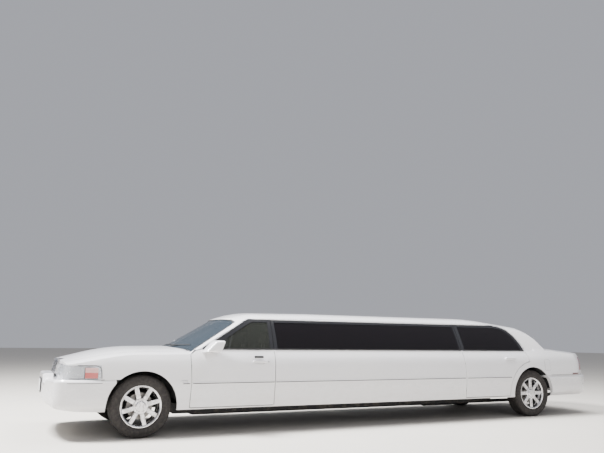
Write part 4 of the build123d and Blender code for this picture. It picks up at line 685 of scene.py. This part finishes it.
# Number plates: blank white enamelled plates in black frames, each held by two screws, on the front bumper and
# the trunk lid.
plate_white, tree, shader = new_material("blank_plate_enamel", (0.78, 0.79, 0.80, 1), 0.35)
scuff = noise(tree, 50.0, 5.0)
tinted(tree, shader, remapped(tree, scuff.outputs["Fac"], 0.45, 0.8), (0.80, 0.81, 0.82, 1), (0.58, 0.57, 0.55, 1))
PLATES = (
    ("front", "root", -4.2605, -1, 0.622, "front_bumper"),
    ("rear", "trunk", None, 1, 0.870, "trunk_lid"),
)
for place, body, face_x, outwards, screw_z, node in PLATES:
    if face_x is None:
        low_hit = on_surface([node], (5.5, 0.15, screw_z - 0.13), (-1, 0, 0))
        high_hit = on_surface([node], (5.5, 0.15, screw_z), (-1, 0, 0))
        face_x, tilt = high_hit.x, (high_hit.x - low_hit.x) / 0.13
    else:
        tilt = 0.0
    frame_piece = bar(
        f"plate_frame_{place}",
        (face_x - 0.006, -0.158, screw_z - 0.142), (face_x + 0.006, 0.158, screw_z + 0.022), 0.004, 3
    )
    sheet = bar(
        f"plate_blank_{place}",
        (face_x - 0.0075, -0.150, screw_z - 0.134), (face_x + 0.0075, 0.150, screw_z + 0.014), 0.001
    )
    border = bar(
        f"plate_border_{place}", (face_x - 0.0082, -0.144, screw_z - 0.128), (face_x + 0.0082, 0.144, screw_z + 0.008),
        0.0006,
    )
    for piece, material, slot in (
        (frame_piece, black_rubber, "black_plastic"), (sheet, bright_trim, "grille_chrome"),
        (border, plate_white, "white_paint"),
    ):
        for vertex in piece.data.vertices:
            vertex.co.x += outwards * 0.004 + (vertex.co.z - screw_z) * tilt
        fitted(piece, material, body, slot)
    for side_y in (-0.089, 0.089):
        bpy.ops.object.select_all(action="DESELECT")
        bpy.ops.mesh.primitive_cylinder_add(
            vertices=20, radius=0.007, depth=0.005, rotation=(0, math.radians(90), 0),
            location=(face_x + outwards * 0.0135, side_y, screw_z),
        )
        screw = active_piece(f"plate_screw_{place}_{'left' if side_y < 0 else 'right'}")
        for face in screw.data.polygons:
            face.select = face.normal.x * outwards > 0.9
        bpy.ops.object.mode_set(mode="EDIT")
        bpy.ops.mesh.inset(thickness=0.003, depth=0.001)
        bpy.ops.object.mode_set(mode="OBJECT")
        fitted(screw, bright_trim, body, "grille_chrome")

# Tail furniture: black rubber round each lamp, a bright strip across the lid over the plate, and two clear reversing
# lamps.
for name, route in (
    ("tail_lamp_seal_left", [(-0.566, 0.897), (-0.700, 0.897), (-0.800, 0.894)]),
    ("tail_lamp_foot_left", [(-0.566, 0.699), (-0.700, 0.699), (-0.800, 0.699)]),
):
    seal = moulding(
        name, ["tail_lamps", "quarter_left", "trunk_lid"], stepped(route, 0.04), 0.0035, direction=(-1, 0, 0),
        start=(5.5, None, None), lift=0.0005,
    )
    both_sides(seal, black_rubber, "root", "black_plastic")
seal = moulding(
    "trunk_trim", ["trunk_lid"], stepped([(-0.400, 0.918), (0.400, 0.918)], 0.05), 0.0065, direction=(-1, 0, 0),
    start=(5.5, None, None), lift=0.002,
)
fitted(seal, bright_trim, "trunk", "grille_chrome")
for side, lamp_y in (("left", -0.345), ("right", 0.345)):
    low_hit = on_surface(["trunk_lid"], (5.5, lamp_y, 0.780), (-1, 0, 0))
    high_hit = on_surface(["trunk_lid"], (5.5, lamp_y, 0.860), (-1, 0, 0))
    lamp = bar(
        f"reversing_lamp_{side}",
        (low_hit.x - 0.004, lamp_y - 0.100, 0.785), (low_hit.x + 0.005, lamp_y + 0.100, 0.850), 0.003, 3
    )
    for vertex in lamp.data.vertices:
        inwards = abs(vertex.co.y) - abs(lamp_y)
        vertex.co.x += (vertex.co.z - 0.780) * (high_hit.x - low_hit.x) / 0.080 - 0.12 * inwards
    fitted(lamp, reflector, "trunk", "clear_lens", smooth=50.0)
    border = bar(
        f"reversing_lamp_border_{side}",
        (low_hit.x - 0.006, lamp_y - 0.105, 0.780), (low_hit.x + 0.0025, lamp_y + 0.105, 0.855),
        0.002,
    )
    for vertex in border.data.vertices:
        inwards = abs(vertex.co.y) - abs(lamp_y)
        vertex.co.x += (vertex.co.z - 0.780) * (high_hit.x - low_hit.x) / 0.080 - 0.12 * inwards
    fitted(border, black_rubber, "trunk", "black_plastic")

# Windscreen edge, wipers and cowl. A black rubber channel frames the glass. Two wiper arms lie parked at its foot,
# on spindles in the slotted cowl.
SCREEN_EDGE = [
    (-0.815, 0.992), (-0.800, 1.020), (-0.678, 1.292), (-0.626, 1.362), (-0.300, 1.3795),
    (0.300, 1.3795), (0.626, 1.362), (0.678, 1.292), (0.800, 1.020), (0.815, 0.992),
]
seal = moulding(
    "windscreen_seal", ["windshield"], stepped(SCREEN_EDGE, 0.05), 0.0085,
    direction=(1, 0, 0), start=(-5.0, None, None), lift=-0.002,
)
fitted(seal, black_rubber, "root", "black_plastic")
REAR_EDGE = [
    (-0.676, 1.000), (-0.676, 1.070), (-0.552, 1.330), (-0.300, 1.3545),
    (0.300, 1.3545), (0.552, 1.330), (0.676, 1.070), (0.676, 1.000),
]
seal = moulding(
    "rear_window_seal", ["rear_window"], stepped(REAR_EDGE, 0.05), 0.0085,
    direction=(-1, 0, 0), start=(5.0, None, None), lift=-0.002,
)
fitted(seal, black_rubber, "root", "black_plastic")
for index, (blade_y, tip_z, pivot_y) in enumerate((((-0.60, -0.02), 1.046, -0.10), ((0.02, 0.56), 1.046, 0.46))):
    route = stepped([(blade_y[0], tip_z + 0.004), (blade_y[1], tip_z - 0.006)], 0.05)
    blade = moulding(
        f"wiper_blade_{index + 1}", ["windshield"], route, 0.006,
        direction=(1, 0, 0), start=(-5.0, None, None), lift=0.008,
    )
    fitted(blade, black_rubber, "root", "black_plastic")
    route = stepped([(pivot_y, 1.020), ((blade_y[0] + blade_y[1]) / 2, tip_z)], 0.05)
    arm = moulding(
        f"wiper_arm_{index + 1}", ["windshield"], route, 0.0055,
        direction=(1, 0, 0), start=(-5.0, None, None), lift=0.016,
    )
    fitted(arm, black_plastic, "root", "black_plastic")
    place = on_surface(["windshield"], (-5.0, pivot_y, 1.020), (1, 0, 0))
    bpy.ops.object.select_all(action="DESELECT")
    bpy.ops.mesh.primitive_cylinder_add(
        vertices=28, radius=0.014, depth=0.030, location=(place.x - 0.014, pivot_y, 1.010)
    )
    pivot = active_piece(f"wiper_spindle_{index + 1}")
    for face in pivot.data.polygons:
        face.select = face.normal.z > 0.9
    bpy.ops.object.mode_set(mode="EDIT")
    bpy.ops.mesh.inset(thickness=0.004, depth=0.003)
    bpy.ops.object.mode_set(mode="OBJECT")
    fitted(pivot, black_plastic, "root", "black_plastic")

# Tyres: black rubber with a ribbed road tread of staggered blocks, a rounded shoulder, and a raised bead guard
# round each sidewall. One is made and copied to the four wheels.
rubber, tree, shader = new_material("tyre_rubber", (0.02, 0.02, 0.02, 1), 0.8)
dust = noise(tree, 40.0, 5.0)
tinted(
    tree, shader, remapped(tree, dust.outputs["Fac"], 0.4, 0.8),
    (0.013, 0.011, 0.011, 1), (0.040, 0.034, 0.030, 1),
)
bumped(tree, shader, dust.outputs["Fac"], 0.001, 0.3)
TYRE_RADIUS = 0.351
# Half of the section, from the bead to the middle of the tread: distance from the wheel's middle, radius
TYRE_HALF = (
    (0.0845, 0.2225), (0.0955, 0.2400), (0.1010, 0.2480), (0.1045, 0.2560), (0.1085, 0.2640), (0.1120, 0.2860),
    (0.1122, 0.2900), (0.1110, 0.2925), (0.1105, 0.3080), (0.1050, 0.3250), (0.0965, 0.3390), (0.0850, 0.3465),
    (0.0560, 0.3472), (0.0530, 0.3400), (0.0480, 0.3400), (0.0450, 0.3474), (0.0190, 0.3476), (0.0160, 0.3400),
    (0.0110, 0.3400), (0.0080, 0.3476),
)
TREAD_STEPS = 90
profile = list(TYRE_HALF) + [(-across, radius) for across, radius in reversed(TYRE_HALF)]
bpy.ops.object.select_all(action="DESELECT")
bpy.ops.mesh.primitive_circle_add(vertices=len(profile), radius=0.1)
tyre = active_piece("road_tyre_front_left")
for vertex, (across, radius) in zip(tyre.data.vertices, profile):
    vertex.co = (0.0, across, radius)
bpy.ops.object.mode_set(mode="EDIT")
bpy.ops.mesh.select_all(action="SELECT")
bpy.ops.mesh.spin(steps=TREAD_STEPS, angle=math.tau, center=(0, 0, 0), axis=(0, 1, 0))
bpy.ops.mesh.select_all(action="SELECT")
bpy.ops.mesh.remove_doubles(threshold=0.00005)
bpy.ops.mesh.normals_make_consistent(inside=False)
bpy.ops.mesh.select_all(action="DESELECT")
bpy.ops.object.mode_set(mode="OBJECT")
for face in tyre.data.polygons:
    radius = math.hypot(face.center.x, face.center.z)
    face.select = radius > 0.3435 and math.hypot(face.normal.x, face.normal.z) > 0.85 and face.area > 0.0002
bpy.ops.object.mode_set(mode="EDIT")
bpy.ops.mesh.inset(thickness=0.0018, depth=0.0, use_individual=True)
bpy.ops.mesh.inset(thickness=0.0006, depth=0.0032, use_individual=True)
bpy.ops.object.mode_set(mode="OBJECT")
WHEEL_CENTRES = (
    ("front_left", FRONT_AXLE, -0.800), ("front_right", FRONT_AXLE, 0.800),
    ("rear_left", REAR_AXLE, -0.825), ("rear_right", REAR_AXLE, 0.825),
)


def on_each_wheel(piece, label, material, slot, hidden=None, smooth=32.0):
    """A copy of the piece, made about the wheel's middle with its outer side at -y, on each wheel."""
    for place, x, y in WHEEL_CENTRES:
        twin = piece.copy()
        twin.data = piece.data.copy()
        twin.name = twin.data.name = f"{label}_{place}"
        bpy.context.collection.objects.link(twin)
        if y > 0:
            twin.data.transform(Matrix.Diagonal((1, -1, 1, 1)))
            twin.data.flip_normals()
        twin.data.transform(Matrix.Translation((x, y, TYRE_RADIUS)))
        nodes_hidden = [f"{hidden}_{place}"] if hidden else []
        fitted(twin, material, "wheel_" + place, slot, *nodes_hidden, smooth=smooth)
    bpy.data.objects.remove(piece, do_unlink=True)


on_each_wheel(tyre, "road_tyre", rubber, "tyre_rubber", "tyre", smooth=38.0)

# Behind the spokes: a cast-iron brake disc bolted to each hub, with a polished track, and a rubber valve with its
# cap near the rim's edge.
disc_iron, tree, shader = new_material("brake_disc_iron", (0.20, 0.19, 0.18, 1), 0.42, 0.9)
polish = noise(tree, 90.0, 3.0)
tinted(tree, shader, polish.outputs["Fac"], (0.16, 0.15, 0.14, 1), (0.26, 0.25, 0.24, 1))
DISC_PROFILE = (
    (-0.0145, 0.066), (-0.0145, 0.090), (0.000, 0.096), (0.000, 0.150), (0.022, 0.150), (0.022, 0.090), (0.004, 0.066)
)
bpy.ops.object.select_all(action="DESELECT")
bpy.ops.mesh.primitive_circle_add(vertices=len(DISC_PROFILE), radius=0.1)
disc = active_piece("brake_disc")
for vertex, (across, radius) in zip(disc.data.vertices, DISC_PROFILE):
    vertex.co = (0.0, across, radius)
bpy.ops.object.mode_set(mode="EDIT")
bpy.ops.mesh.select_all(action="SELECT")
bpy.ops.mesh.spin(steps=72, angle=math.tau, center=(0, 0, 0), axis=(0, 1, 0))
bpy.ops.mesh.select_all(action="SELECT")
bpy.ops.mesh.remove_doubles(threshold=0.00005)
bpy.ops.mesh.normals_make_consistent(inside=False)
bpy.ops.object.mode_set(mode="OBJECT")
on_each_wheel(disc, "brake_disc", disc_iron, "frame_steel")
bpy.ops.object.select_all(action="DESELECT")
bpy.ops.mesh.primitive_cylinder_add(
    vertices=16, radius=0.0045, depth=0.034, location=(0.0825, -0.073, 0.199), rotation=(math.radians(72), 0, 0)
)
valve = active_piece("tyre_valve")
for face in valve.data.polygons:
    face.select = face.normal.y < -0.8
bpy.ops.object.mode_set(mode="EDIT")
bpy.ops.mesh.inset(thickness=0.0012, depth=0.002)
bpy.ops.object.mode_set(mode="OBJECT")
on_each_wheel(valve, "tyre_valve", black_rubber, "black_plastic")


# Engine bay: ribbed cam covers and an intake plenum on the block, an air box and a battery beside it, and the
# brake servo on the firewall.
cast_cover, tree, shader = new_material("cast_cover_grey", (0.16, 0.16, 0.165, 1), 0.5, 0.6)
casting = noise(tree, 120.0, 4.0)
tinted(tree, shader, remapped(tree, casting.outputs["Fac"], 0.4, 0.7), (0.13, 0.13, 0.135, 1), (0.22, 0.22, 0.22, 1))
bumped(tree, shader, casting.outputs["Fac"], 0.0008, 0.3)
for side, cover_y in (("left", -0.205), ("right", 0.205)):
    cover = bar(f"cam_cover_{side}", (-3.500, cover_y - 0.070, 0.878), (-2.920, cover_y + 0.070, 0.905), 0.012, 3)
    fitted(cover, cast_cover, "root", "engine_iron", smooth=50.0)
    for rib in range(5):
        ridge = bar(
            f"cam_cover_{side}_rib_{rib + 1}", (-3.470, cover_y - 0.052 + rib * 0.0235, 0.903),
            (-2.950, cover_y - 0.044 + rib * 0.0235, 0.9085), 0.002,
        )
        fitted(ridge, cast_cover, "root", "engine_iron")
plenum = bar("intake_plenum", (-3.460, -0.105, 0.878), (-2.960, 0.105, 0.915), 0.016, 4)
fitted(plenum, cast_cover, "root", "engine_iron", smooth=50.0)
for name, low, high, material in (
    ("air_box", (-3.820, 0.360, 0.560), (-3.640, 0.600, 0.760), black_plastic),
    ("battery", (-3.820, -0.640, 0.560), (-3.660, -0.400, 0.735), black_plastic),
    ("battery_lid", (-3.822, -0.642, 0.735), (-3.658, -0.398, 0.752), black_rubber),
    ("brake_servo", (-2.700, -0.520, 0.690), (-2.617, -0.330, 0.860), black_plastic),
    ("washer_bottle", (-3.820, 0.380, 0.500), (-3.700, 0.560, 0.558), cast_cover),
):
    piece = bar(name, low, high, 0.014, 3)
    fitted(piece, material, "root", "black_plastic", smooth=50.0)
for pole_y in (-0.600, -0.440):
    bpy.ops.object.select_all(action="DESELECT")
    bpy.ops.mesh.primitive_cylinder_add(vertices=20, radius=0.010, depth=0.024, location=(-3.790, pole_y, 0.760))
    pole = active_piece(f"battery_pole_{'left' if pole_y < -0.5 else 'right'}")
    for face in pole.data.polygons:
        face.select = face.normal.z > 0.9
    bpy.ops.object.mode_set(mode="EDIT")
    bpy.ops.mesh.inset(thickness=0.003, depth=0.002)
    bpy.ops.object.mode_set(mode="OBJECT")
    fitted(pole, cast_cover, "root", "engine_iron")

# Front seats: foam cushions, backs and head rests in black leather, sewn with lengthwise channels. One seat's
# three pads are made and copied to the other side of the tunnel.


def stuffed(piece, voxel, cap, pressure=4.0, smooth_steps=1):
    """The pad filled out by a short cloth simulation: swollen between its edges, no point moving past the cap."""
    bpy.ops.object.select_all(action="DESELECT")
    piece.select_set(True)
    bpy.context.view_layer.objects.active = piece
    skin = piece.modifiers.new("skin", "REMESH")
    skin.mode = "VOXEL"
    skin.voxel_size = voxel
    bpy.ops.object.modifier_apply(modifier="skin")
    resting = [vertex.co.copy() for vertex in piece.data.vertices]
    stuffing = piece.modifiers.new("stuffing", "CLOTH")
    stuffing.settings.use_pressure = True
    stuffing.settings.uniform_pressure_force = pressure
    stuffing.settings.effector_weights.gravity = 0.0
    stuffing.point_cache.frame_start = 1
    stuffing.point_cache.frame_end = 20
    for step in range(1, 21):
        bpy.context.scene.frame_set(step)
    bpy.ops.object.modifier_apply(modifier="stuffing")
    bpy.context.scene.frame_set(1)
    for vertex, rest in zip(piece.data.vertices, resting):
        moved = vertex.co - rest
        if moved.length > cap:
            vertex.co = rest + moved * (cap / moved.length)
    for _ in range(smooth_steps):
        finer = piece.modifiers.new("finer", "SUBSURF")
        finer.levels = finer.render_levels = 1
        bpy.ops.object.modifier_apply(modifier="finer")


def channelled(piece, axis, lines, depth, width, low=None):
    """Sewn channels: the pad's skin drawn in along lines across one axis."""
    for vertex, normal in zip(piece.data.vertices, [corner.vector.copy() for corner in piece.data.vertex_normals]):
        for line in lines:
            away = (vertex.co[axis] - line) / width
            if abs(away) < 2.5 and (low is None or vertex.co.z > low):
                vertex.co -= normal * depth * math.exp(-away * away)


def pad(name, low, high, rounding, lean=0.0, taper=0.0):
    """A pad's plain form before it is stuffed: a rounded bar, leaning back with height, narrower at its top."""
    piece = bar(name, low, high)
    bpy.ops.object.mode_set(mode="EDIT")
    bpy.ops.mesh.select_all(action="SELECT")
    bpy.ops.mesh.bevel(offset=rounding, segments=4, affect="EDGES")
    bpy.ops.mesh.subdivide(number_cuts=2)
    bpy.ops.object.mode_set(mode="OBJECT")
    middle_y = (low[1] + high[1]) / 2
    for vertex in piece.data.vertices:
        rise = (vertex.co.z - low[2]) / (high[2] - low[2])
        vertex.co.x += lean * rise
        vertex.co.y = middle_y + (vertex.co.y - middle_y) * (1 - taper * rise)
    return piece


def leather_pad(piece, body, hidden=()):
    """The finished leather pad."""
    fitted(piece, black_leather, body, "black_leather", *hidden, smooth=60.0)
    return piece


SEAT_TONE_CHANNELS = (-0.56, -0.48, -0.40, -0.32, -0.24)
front_pads = []
for name, low, high, rounding, lean, taper, voxel, cap in (
    ("seat_cushion_left", (-2.085, -0.672, 0.362), (-1.635, -0.128, 0.492), 0.040, 0.0, 0.0, 0.012, 0.014),
    ("seat_back_left", (-1.690, -0.662, 0.400), (-1.565, -0.138, 1.030), 0.045, 0.055, 0.10, 0.012, 0.012),
    ("head_rest_left", (-1.560, -0.520, 1.060), (-1.490, -0.280, 1.225), 0.028, 0.010, 0.12, 0.010, 0.008),
):
    piece = pad(name, low, high, rounding, lean, taper)
    stuffed(piece, voxel, cap)
    if "head_rest" not in name:
        channelled(piece, 1, SEAT_TONE_CHANNELS, 0.006, 0.008)
    front_pads.append(piece)
for piece in front_pads:
    twin = piece.copy()
    twin.data = piece.data.copy()
    twin.name = twin.data.name = piece.name.replace("_left", "_right")
    bpy.context.collection.objects.link(twin)
    twin.data.transform(Matrix.Diagonal((1, -1, 1, 1)))
    twin.data.flip_normals()
    leather_pad(piece, "root", ["front_seats"])
    leather_pad(twin, "root", ["front_seats"])
for side_y in (-0.40, 0.40):
    side = "left" if side_y < 0 else "right"
    base = bar(f"seat_base_{side}", (-2.040, side_y - 0.235, 0.3495), (-1.600, side_y + 0.235, 0.385), 0.010, 2)
    fitted(base, black_plastic, "root", "black_plastic")
    for number, post_y in enumerate((side_y - 0.05, side_y + 0.05)):
        bpy.ops.object.select_all(action="DESELECT")
        bpy.ops.mesh.primitive_cylinder_add(vertices=16, radius=0.006, depth=0.10, location=(-1.530, post_y, 1.045))
        post = active_piece(f"head_rest_post_{side}_{number + 1}")
        bpy.ops.object.mode_set(mode="EDIT")
        bpy.ops.mesh.select_all(action="SELECT")
        bpy.ops.mesh.bevel(offset=0.001, segments=1, affect="EDGES")
        bpy.ops.object.mode_set(mode="OBJECT")
        fitted(post, bright_trim, "root", "grille_chrome")

# Rear seat and side bench: long sprung cushions and backs in the same leather, with channels across them, on
# carpeted plinths.
plinth_carpet, tree, shader = new_material("charcoal_carpet", (0.03, 0.03, 0.032, 1), 0.95)
pile = noise(tree, 700.0, 4.0)
tinted(
    tree, shader, remapped(tree, pile.outputs["Fac"], 0.35, 0.7),
    (0.018, 0.018, 0.020, 1), (0.060, 0.058, 0.058, 1),
)
bumped(tree, shader, pile.outputs["Fac"], 0.003, 0.6)
shader.inputs["Sheen Weight"].default_value = 0.4
REAR_CHANNELS = [-0.50 + 0.125 * number for number in range(9)]
BENCH_CHANNELS = [-1.265 + 0.17 * number for number in range(1, 15)]
for name, low, high, rounding, lean, axis, lines, voxel, cap, hidden in (
    (
        "rear_cushion", (2.432, -0.612, 0.600), (2.800, 0.612, 0.715),
        0.040, 0.0, 1, REAR_CHANNELS, 0.014, 0.014, "rear_seat",
    ),
    (
        "rear_back", (2.715, -0.612, 0.680), (2.830, 0.612, 1.115),
        0.045, 0.060, 1, REAR_CHANNELS, 0.014, 0.012, "rear_seat",
    ),
    (
        "bench_cushion", (-1.255, -0.760, 0.500), (1.323, -0.428, 0.596),
        0.036, 0.0, 0, BENCH_CHANNELS, 0.016, 0.012, "side_bench",
    ),
    (
        "bench_back", (-1.255, -0.862, 0.580), (1.323, -0.770, 0.925),
        0.036, 0.0, 0, BENCH_CHANNELS, 0.016, 0.010, "side_bench",
    ),
):
    piece = pad(name, low, high, rounding, lean)
    stuffed(piece, voxel, cap)
    channelled(piece, axis, lines, 0.006, 0.010)
    leather_pad(piece, "root", [hidden])
plinth = bar("rear_seat_plinth", (2.450, -0.600, 0.5675), (2.870, 0.600, 0.622), 0.008, 2)
fitted(plinth, plinth_carpet, "root", "black_leather")
plinth = bar("bench_plinth", (-1.245, -0.782, 0.3495), (1.315, -0.440, 0.520), 0.008, 2)
fitted(plinth, plinth_carpet, "root", "black_leather")
plinth = bar("bench_rail", (-1.250, -0.880, 0.436), (1.318, -0.800, 0.900), 0.012, 2)
fitted(plinth, plinth_carpet, "root", "black_leather")

# Carpet and roof lining: cut pile glued over the floor and its tunnel, and pale woven lining under the roof.


def lining(name, node, x_span, y_span, start_z, direction_z, gap, thickness, cuts):
    """A soft covering laid against a surface above or below, following it."""
    bpy.ops.object.select_all(action="DESELECT")
    middle = ((x_span[0] + x_span[1]) / 2, (y_span[0] + y_span[1]) / 2, 0)
    bpy.ops.mesh.primitive_grid_add(x_subdivisions=cuts[0], y_subdivisions=cuts[1], size=1, location=middle)
    bpy.context.object.scale = (x_span[1] - x_span[0], y_span[1] - y_span[0], 1)
    piece = active_piece(name)
    known = []
    for vertex in piece.data.vertices:
        place = on_surface([node], (vertex.co.x, vertex.co.y, start_z), (0, 0, direction_z))
        if place:
            vertex.co.z = place.z - direction_z * gap
            known.append(vertex.co.z)
        else:
            vertex.co.z = sum(known) / len(known) if known else start_z
    piece.modifiers.new("thickness", "SOLIDIFY").thickness = thickness
    piece.modifiers["thickness"].offset = 1.0 if direction_z < 0 else -1.0
    bpy.ops.object.select_all(action="DESELECT")
    piece.select_set(True)
    bpy.context.view_layer.objects.active = piece
    bpy.ops.object.modifier_apply(modifier="thickness")
    return piece


carpet = lining("cabin_carpet", "floor_pan", (-2.585, 2.335), (-0.780, 0.780), 0.48, -1, -0.001, 0.008, (60, 56))
fitted(carpet, plinth_carpet, "root", "black_leather")
roof_cloth, tree, shader = new_material("roof_lining_cloth", (0.42, 0.40, 0.39, 1), 0.9)
weave = cells(tree, 320.0)
tinted(tree, shader, weave.outputs["Distance"], (0.46, 0.44, 0.43, 1), (0.34, 0.33, 0.32, 1))
bumped(tree, shader, weave.outputs["Distance"], 0.0004, 0.15)
headliner = lining("roof_lining", "roof", (-1.780, 2.380), (-0.600, 0.600), 1.20, 1, 0.001, 0.006, (50, 20))
fitted(headliner, roof_cloth, "root", "black_leather")

# Dashboard: a padded black top over a moulded fascia, with an instrument binnacle, vents, a blank radio and a
# glove box lid. The steering column carries two stalks.
dash = bar("dash_fascia", (-2.590, -0.738, 0.622), (-2.318, 0.738, 0.884), 0.035, 4)
fitted(dash, black_plastic, "root", "black_plastic", "dashboard", smooth=50.0)
top = bar("dash_top", (-2.592, -0.742, 0.868), (-2.300, 0.742, 0.903), 0.015, 3)
fitted(top, black_leather, "root", "black_leather", smooth=50.0)
binnacle = bar("dash_binnacle", (-2.560, -0.600, 0.880), (-2.290, -0.200, 0.948), 0.028, 4)
fitted(binnacle, black_leather, "root", "black_leather", smooth=50.0)
for name, low, high, material in (
    ("dash_instruments", (-2.296, -0.575, 0.872), (-2.284, -0.225, 0.930), silvered),
    ("dash_radio", (-2.3215, -0.110, 0.770), (-2.3120, 0.090, 0.842), black_rubber),
    ("dash_heater", (-2.3215, -0.110, 0.690), (-2.3120, 0.090, 0.752), black_rubber),
    ("dash_glove_lid", (-2.3225, 0.190, 0.680), (-2.3120, 0.620, 0.830), black_leather),
):
    piece = bar(name, low, high, 0.004, 3)
    fitted(piece, material, "root", "black_plastic", smooth=50.0)
for number, vent_y in enumerate((-0.675, -0.155, 0.135, 0.675)):
    vent = bar(f"dash_vent_{number + 1}", (-2.3215, vent_y - 0.042, 0.790), (-2.3100, vent_y + 0.042, 0.840), 0.003, 2)
    fitted(vent, black_rubber, "root", "black_plastic")
    for slat in range(4):
        blade = bar(
            f"dash_vent_{number + 1}_slat_{slat + 1}", (-2.3110, vent_y - 0.037, 0.7965 + slat * 0.0105),
            (-2.3075, vent_y + 0.037, 0.8005 + slat * 0.0105), 0.001,
        )
        fitted(blade, black_plastic, "root", "black_plastic")
for number, stalk_y in enumerate((-0.53, -0.27)):
    tip = bar(
        f"column_stalk_{number + 1}",
        (-2.272, min(stalk_y, -0.40), 0.868), (-2.258, max(stalk_y, -0.40), 0.880), 0.004, 3
    )
    fitted(tip, black_plastic, "root", "black_plastic")

# Door linings: a moulded panel over each door's inner side with an armrest pad, a pull and a pocket.
for place, body, x_low, x_high in (
    ("front", "front_door_left", -2.570, -1.640), ("rear", "rear_door_left", 1.575, 2.300)
):
    lining_panel = bar(f"door_lining_{place}_left", (x_low, -0.925, 0.400), (x_high, -0.908, 0.925), 0.007, 3)
    both_sides(lining_panel, black_leather, body, "black_leather", smooth=50.0)
    armrest = bar(f"door_armrest_{place}_left", (x_low + 0.16, -0.912, 0.640), (x_high - 0.12, -0.856, 0.700), 0.020, 4)
    both_sides(armrest, black_leather, body, "black_leather", smooth=60.0)
    pocket = bar(f"door_pocket_{place}_left", (x_low + 0.12, -0.912, 0.430), (x_high - 0.16, -0.884, 0.560), 0.010, 3)
    both_sides(pocket, black_plastic, body, "black_plastic", smooth=50.0)
    pull = bar(f"door_pull_{place}_left", (x_low + 0.10, -0.911, 0.800), (x_low + 0.19, -0.898, 0.826), 0.004, 3)
    both_sides(pull, bright_trim, body, "grille_chrome")

# Partition: its window is a pane of tinted glass.
pane = bar("partition_glass", (-1.4165, -0.5195, 1.0105), (-1.4105, 0.5195, 1.3295), 0.001)
fitted(pane, door_tint, "root", "dark_glass")

# Inner mirror: a black wedge on a stalk at the top of the windscreen.
inner = bar("inner_mirror", (-2.075, -0.115, 1.262), (-2.040, 0.115, 1.318), 0.012, 4)
fitted(inner, black_plastic, "root", "black_plastic", smooth=50.0)
stem = bar("inner_mirror_stem", (-2.150, -0.010, 1.292), (-2.060, 0.010, 1.306), 0.004, 2)
fitted(stem, black_plastic, "root", "black_plastic")

# Tail lamps: dark red moulded lenses with level prisms, round the corners of the tail.
red_lens, tree, shader = new_material("red_lens", (0.22, 0.008, 0.012, 1), 0.1)
prisms = bands(tree, 20.0, "Z")
tinted(tree, shader, prisms.outputs["Fac"], (0.30, 0.010, 0.014, 1), (0.14, 0.004, 0.008, 1))
bumped(tree, shader, prisms.outputs["Fac"], 0.002, 0.2)
shader.inputs["Coat Weight"].default_value = 1.0
give(red_lens, "tail_lamps")

# Studio: a pale floor under the tyres, soft light from above, from ahead and from the car's left side.
bpy.ops.mesh.primitive_plane_add(size=120, location=(0, 0, 0))
floor = bpy.context.object
floor.name = "studio_floor"
floor_material, tree, shader = new_material("pale_floor", (0.60, 0.57, 0.52, 1), 0.75)
mottle = noise(tree, 0.6, 3.0)
tinted(tree, shader, mottle.outputs["Fac"], (0.57, 0.54, 0.49, 1), (0.63, 0.60, 0.55, 1))
floor.data.materials.append(floor_material)

world = bpy.data.worlds.new("studio_air")
world.use_nodes = True
world.node_tree.nodes["Background"].inputs["Color"].default_value = (0.80, 0.82, 0.90, 1)
world.node_tree.nodes["Background"].inputs["Strength"].default_value = 0.55
bpy.context.scene.world = world
LIGHTS = (
    ("key_light", (-8.0, 1.0, 10.0), (-0.5, 0.0, 0.8), 6200.0, 3.0),
    ("side_light", (-3.0, -11.0, 5.5), (0.0, 0.0, 0.5), 420.0, 9.0),
    ("top_light", (2.0, 0.5, 8.5), (1.0, 0.0, 0.8), 1700.0, 7.0),
)
for name, place, aim, power, size in LIGHTS:
    bpy.ops.object.light_add(type="AREA", location=place)
    lamp = bpy.context.object
    lamp.name = name
    lamp.data.energy = power
    lamp.data.size = size
    lamp.rotation_euler = (Vector(aim) - Vector(place)).to_track_quat("-Z", "Y").to_euler()

# Camera: low on the far pavement, ahead of the car's left side, tilted up at the building behind it.
CAMERA_PLACE = (-4.643, -8.145, 1.126)
CAMERA_YAW = 0.4438
CAMERA_PITCH = 0.1868
CAMERA_ROLL = 0.0124
FOCAL_PIXELS = 600.2
PHOTO_WIDTH = 604.0
SENSOR = 36.0
bpy.ops.object.camera_add(location=CAMERA_PLACE)
camera = bpy.context.object
camera.data.sensor_width = SENSOR
camera.data.lens = SENSOR * FOCAL_PIXELS / PHOTO_WIDTH
forward = Vector(
    (
        math.sin(CAMERA_YAW) * math.cos(CAMERA_PITCH),
        math.cos(CAMERA_YAW) * math.cos(CAMERA_PITCH),
        math.sin(CAMERA_PITCH),
    )
)
level = Vector((math.cos(CAMERA_YAW), -math.sin(CAMERA_YAW), 0.0))
upright = level.cross(forward)
right = math.cos(CAMERA_ROLL) * level + math.sin(CAMERA_ROLL) * upright
up = math.cos(CAMERA_ROLL) * upright - math.sin(CAMERA_ROLL) * level
turn = Matrix((right, up, -forward)).transposed().to_4x4()
camera.matrix_world = Matrix.Translation(CAMERA_PLACE) @ turn
bpy.context.scene.camera = camera
